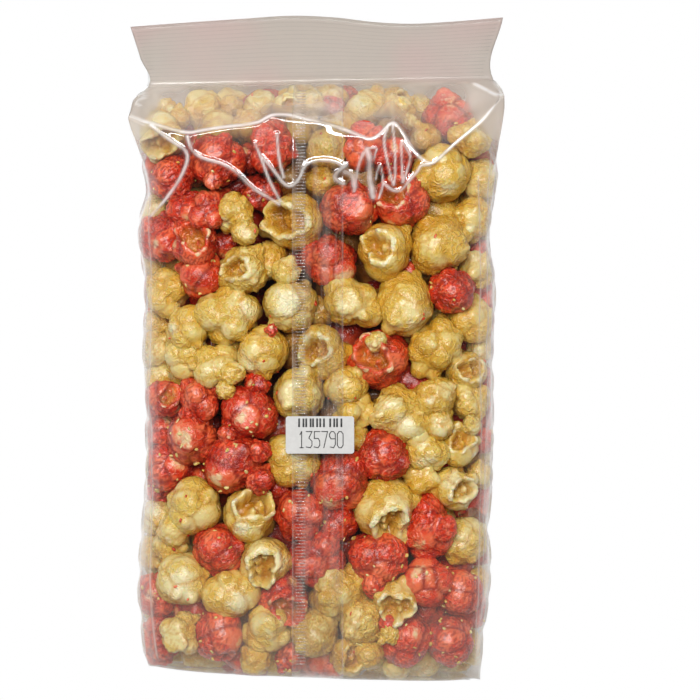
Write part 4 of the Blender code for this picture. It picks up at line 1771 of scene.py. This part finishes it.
@dataclass(frozen=True)
class FilmFinish:
    """Clear film: mostly see-through, with a thin shine and a milky haze where it is loose, painted
    highlights along its creases, a painted brighter haze near the neck and painted pink reflections in the
    header.
    """

    name: str
    milk: float
    loose_milk: float = 0.0
    header_milk: float = 0.0
    edge_milk: float = 0.2
    # Milk of the white painted highlight along the creases
    crease_glint_milk: float = 0.95
    shine: float = 1.3
    roughness: float = 0.07
    colour: tuple[float, float, float] = (0.74, 0.67, 0.60)
    # Painted light: a brighter haze colour for the film near the neck
    neck_painted_light: tuple[float, float, float] = (0.84, 0.76, 0.665)
    header_colour: tuple[float, float, float] = (0.56, 0.505, 0.455)
    # Painted reflection: pink of the red popcorn, in patches over the header
    header_pink_reflection: tuple[float, float, float] = (0.60, 0.485, 0.45)
    streaks: float = 0.0

    def make(self) -> Material:
        """Makes the material, which reads the film's "film" attribute where it has one."""
        material = bpy.data.materials.new(self.name)
        material.use_nodes = True
        n = Nodes(material.node_tree)
        milk: NodeSocket | float = self.milk
        shine: NodeSocket | float = self.shine
        colour: NodeSocket | tuple = rgb(self.header_colour)
        if self.loose_milk:
            marks = n.add("Attribute", {"attribute_name": "film", "attribute_type": "GEOMETRY"})
            loose, region, header = n.add("SeparateColor", None, Color=marks.outputs["Color"]).outputs
            soft = n.math("MULTIPLY", n.math("ADD", n.math("MULTIPLY", loose, 0.6), 0.4), region)
            milk = n.math("ADD", self.milk, n.math("MULTIPLY", soft, self.loose_milk))
            milk = n.math("ADD", milk, n.math("MULTIPLY", header, self.header_milk))
            uneven = n.ramp(n.noise(130.0, 2.0, 0.5), 0.34, 0.54, 0.6, 1.0)
            # Painted highlight: the creases' white, broken up by noise, turns the film milky white along
            # them.
            white = n.math("MULTIPLY", marks.outputs["Alpha"], uneven)
            milk = n.math("ADD", milk, n.math("MULTIPLY", white, self.crease_glint_milk))
            shine = n.math("MULTIPLY", self.shine, n.math("MULTIPLY_ADD", header, -0.8, c=1.0))
            # Painted reflection: noise patches of pink, as if the red kernels showed in the header.
            pink_reflection_patches = n.ramp(n.noise(22.0, 2.0, 0.5), 0.45, 0.7)
            header_with_reflections = n.mix(pink_reflection_patches, rgb(self.header_colour), rgb(self.header_pink_reflection))
            # Painted light: the haze near the neck is brighter.
            colour = n.mix(n.ramp(region, 0.5, 0.85), rgb(self.colour), rgb(self.neck_painted_light))
            colour = n.mix(header, colour, header_with_reflections)
            colour = n.mix(white, colour, (0.95, 0.95, 0.95, 1.0))
        if self.streaks:
            where = n.add("TexCoord").outputs["Object"]
            along = n.add("VectorMath", {"operation": "MULTIPLY"}, in0=where, in1=(1.0, 0.07, 1.0)).outputs[0]
            streak = n.ramp(n.noise(420.0, 3.0, 0.6, along), 0.42, 0.68, 0.0, self.streaks)
            milk = n.math("ADD", milk, streak)
        facing = n.add("LayerWeight", None, Blend=0.5).outputs["Facing"]
        milk = n.math("ADD", milk, n.math("MULTIPLY", n.math("POWER", facing, 3.0), self.edge_milk), True)
        clear = n.add("BsdfTransparent", None, Color=(0.985, 0.985, 0.985, 1.0))
        white = n.add("BsdfDiffuse", None, Color=colour)
        through = n.add("BsdfTranslucent", None, Color=colour)
        both = n.add("MixShader", None, Fac=0.35, in1=white.outputs[0], in2=through.outputs[0])
        hazy = n.add("MixShader", None, Fac=milk, in1=clear.outputs[0], in2=both.outputs[0])
        wave = n.add("Bump", None, Strength=0.15, Distance=0.0004, Height=n.noise(160.0, 2.0, 0.5))
        gloss = n.add("BsdfGlossy", None, Color=WHITE, Roughness=self.roughness, Normal=wave.outputs[0])
        mirror = n.math("MULTIPLY_ADD", n.math("POWER", facing, 5.0), 0.9, c=0.04)
        lit = n.math("SUBTRACT", 1.0, n.add("LightPath").outputs["Is Shadow Ray"])
        shiny = n.math("MULTIPLY", n.math("MULTIPLY", mirror, shine), lit, True)
        dressed = n.add("MixShader", None, Fac=shiny, in1=hazy.outputs[0], in2=gloss.outputs[0])
        n.add("OutputMaterial", None, Surface=dressed.outputs[0])
        return material


@dataclass(frozen=True)
class PlainFinish:
    """A plain even finish with a little grain."""

    name: str
    colour: tuple[float, float, float]
    roughness: float
    grain: float = 0.0

    def make(self) -> Material:
        """Makes the material."""
        material = bpy.data.materials.new(self.name)
        material.use_nodes = True
        n = Nodes(material.node_tree)
        tone = n.ramp(n.noise(700.0, 3.0, 0.6), 0.3, 0.7, 1 - self.grain, 1 + self.grain)
        scale = n.add("CombineColor", None, Red=tone, Green=tone, Blue=tone)
        colour = n.mix(1.0, rgb(self.colour), scale.outputs[0], "MULTIPLY")
        shader = n.add("BsdfPrincipled", None, Base_Color=colour, Roughness=self.roughness)
        n.add("OutputMaterial", None, Surface=shader.outputs[0])
        return material


@dataclass
class Studio:
    """The white floor, the soft white room and the lamps, some of which light the film alone."""

    floor_size: float = 6.0
    floor_glow: float = 0.15
    below: float = -0.0004
    room: float = 0.27
    camera_at: tuple[float, float, float] = (0.01117, -0.00117, 0.879)
    lens: float = 131.1

    def build(self, bag: "PopcornBag") -> None:
        """Sets the floor, the room, the lights and the camera.

        Args:
            bag: The bag, whose film and popcorn are lit by lights of their own.
        """
        scene = bpy.context.scene
        scene.view_settings.view_transform = "Standard"
        floor = self.floor()
        self.world()
        soft = ((-0.15, 0.45, 1.5), (1.1, 0.9))
        self.light("popcorn_key", *soft, 28.0, [*bag.popcorn, floor])
        self.light("film_key", *soft, 32.0, bag.film).visible_glossy = False
        for name, where, size, power in (
            ("far_strip", (0.0, 1.2, 0.85), (1.3, 0.24), 19.0),
            ("right_strip", (1.0, 0.9, 0.6), (0.4, 0.3), 14.0),
            ("left_strip", (-1.0, 0.9, 0.6), (0.4, 0.3), 14.0),
        ):
            self.light(name, where, size, power, bag.film).visible_diffuse = False
        camera = bpy.data.cameras.new("photo_camera")
        camera.sensor_width, camera.lens = 36.0, self.lens
        camera.clip_start, camera.clip_end = 0.05, 20.0
        holder = bpy.data.objects.new("photo_camera", camera)
        holder.location = self.camera_at
        scene.collection.objects.link(holder)
        scene.camera = holder

    def floor(self) -> Object:
        """Lays a white floor that stays white in the camera's view, and returns it."""
        half = self.floor_size / 2
        mesh = bpy.data.meshes.new("floor")
        corners = [(x * half, y * half, self.below) for x, y in ((-1, -1), (1, -1), (1, 1), (-1, 1))]
        mesh.from_pydata(corners, [], [(0, 1, 2, 3)])
        material = bpy.data.materials.new("white_sweep")
        material.use_nodes = True
        n = Nodes(material.node_tree)
        glow = n.add("Emission", None, Color=WHITE, Strength=1.0)
        matt = n.add("BsdfDiffuse", None, Color=(0.86, 0.86, 0.86, 1))
        plain = n.add("MixShader", None, Fac=self.floor_glow, in1=matt.outputs[0], in2=glow.outputs[0])
        path = n.add("LightPath")
        open_view = n.math("LESS_THAN", path.outputs["Transparent Depth"], 0.5)
        direct = n.math("MULTIPLY", path.outputs["Is Camera Ray"], open_view)
        seen = n.add("MixShader", None, Fac=direct, in1=plain.outputs[0], in2=glow.outputs[0])
        under = n.add("NewGeometry").outputs["Backfacing"]
        gone = n.add("BsdfTransparent", None)
        sweep = n.add("MixShader", None, Fac=under, in1=seen.outputs[0], in2=gone.outputs[0])
        n.add("OutputMaterial", None, Surface=sweep.outputs[0])
        mesh.materials.append(material)
        floor = bpy.data.objects.new("floor", mesh)
        bpy.context.scene.collection.objects.link(floor)
        return floor

    def world(self) -> None:
        """Lights the room evenly, a little darker straight above, where the camera hangs."""
        world = bpy.data.worlds.new("white_room")
        world.use_nodes = True
        n = Nodes(world.node_tree)
        up = n.add("SeparateXYZ", None, Vector=n.add("TexCoord").outputs["Generated"]).outputs["Z"]
        level = n.ramp(up, 0.1, 0.95, self.room * 1.35, self.room * 0.15)
        back = n.add("Background", None, Color=WHITE, Strength=level)
        n.add("OutputWorld", None, Surface=back.outputs[0])
        bpy.context.scene.world = world

    def light(
        self,
        name: str,
        where: tuple[float, float, float],
        size: tuple[float, float],
        power: float,
        lit: Sequence[Object],
    ) -> Object:
        """Hangs one rectangular light, facing the bag's middle.

        Args:
            name: The light's name.
            where: Its place.
            size: Its width and height, in metres.
            power: Its power, in watts.
            lit: The objects that it lights.

        Returns:
            The light.
        """
        lamp = bpy.data.lights.new(name, "AREA")
        lamp.shape = "RECTANGLE"
        lamp.size, lamp.size_y = size
        lamp.energy = power
        holder = bpy.data.objects.new(name, lamp)
        holder.location = where
        holder.rotation_euler = (Vector((0, 0, 0.03)) - Vector(where)).to_track_quat("-Z", "Y").to_euler()
        bpy.context.scene.collection.objects.link(holder)
        receivers = bpy.data.collections.new(name + "_receivers")
        for thing in lit:
            receivers.objects.link(thing)
        holder.light_linking.receiver_collection = receivers
        return holder


@dataclass
class PopcornBag:
    """The whole bag: its popcorn, film, seam, seals, crumbs and label."""

    shape: BagShape = field(default_factory=BagShape)
    film: list[Object] = field(default_factory=list)
    popcorn: list[Object] = field(default_factory=list)

    def build(self) -> None:
        """Makes and dresses every piece."""
        red = GlazeFinish(
            "red_glaze", body=(0.77, 0.050, 0.010), deep=(0.52, 0.018, 0.005), pale=(0.82, 0.170, 0.064),
            veins=(0.88, 0.25, 0.12), bare=(0.84, 0.60, 0.34), crust=(0.26, 0.008, 0.004),
            opening=(0.60, 0.29, 0.04), bare_from=0.72, vein_tone_and_sheen_share=0.7, relief=0.7, bare_soft=0.26,
            painted_flank_shade=(0.98, 0.70, 0.45),
        ).make()
        gold = GlazeFinish(
            "gold_glaze", body=(0.75, 0.52, 0.097), deep=(0.73, 0.40, 0.028), pale=(0.77, 0.66, 0.31),
            veins=(0.82, 0.70, 0.31), bare=(0.83, 0.75, 0.44), crust=(0.58, 0.27, 0.018),
            opening=(0.52, 0.25, 0.025), bare_from=0.54, vein_tone_and_sheen_share=0.45, relief=0.7, bare_soft=0.35,
            painted_flank_shade=(0.98, 0.86, 0.49), crease_glaze_and_shade_share=0.6,
        ).make()
        filling = Filling(self.shape)
        filling.settle()
        kernels = {piece.name: piece for piece in filling.build({Coat.RED: red, Coat.GOLD: gold})}
        clear = FilmFinish("clear_film", 0.0, 0.5, 0.6).make()
        crimped = FilmFinish("crimped_film", 0.05, edge_milk=0.02, shine=0.3, roughness=0.25).make()
        double = FilmFinish(
            "double_film", 0.0, 0.001, 0.02, edge_milk=0.12, roughness=0.1, streaks=0.09,
        ).make()
        envelope = FilmEnvelope(self.shape, filling)
        self.film = [envelope.build(clear)]
        self.film += BackSeam(envelope).build(double)
        self.film += CrimpedSeals(self.shape).build(crimped, double)
        crumbs = Crumbs()
        paper = PlainFinish("label_paper", (0.60, 0.59, 0.57), 0.6, 0.04).make()
        ink = PlainFinish("print_ink", (0.05, 0.05, 0.05), 0.5).make()
        self.popcorn = [
            *kernels.values(),
            crumbs.scatter("pale_crumbs", kernels["red_face_balls"], gold, "gold_glaze", 0.5, 3),
            crumbs.scatter("red_crumbs", kernels["gold_face_balls"], red, "red_glaze", 0.12, 4),
            *DateLabel().build(paper, ink),
        ]


def main() -> None:
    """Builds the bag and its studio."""
    logging.basicConfig(level=logging.INFO, format="%(message)s")
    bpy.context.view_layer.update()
    bag = PopcornBag()
    bag.build()
    Studio().build(bag)


if __name__ == "__main__":
    main()
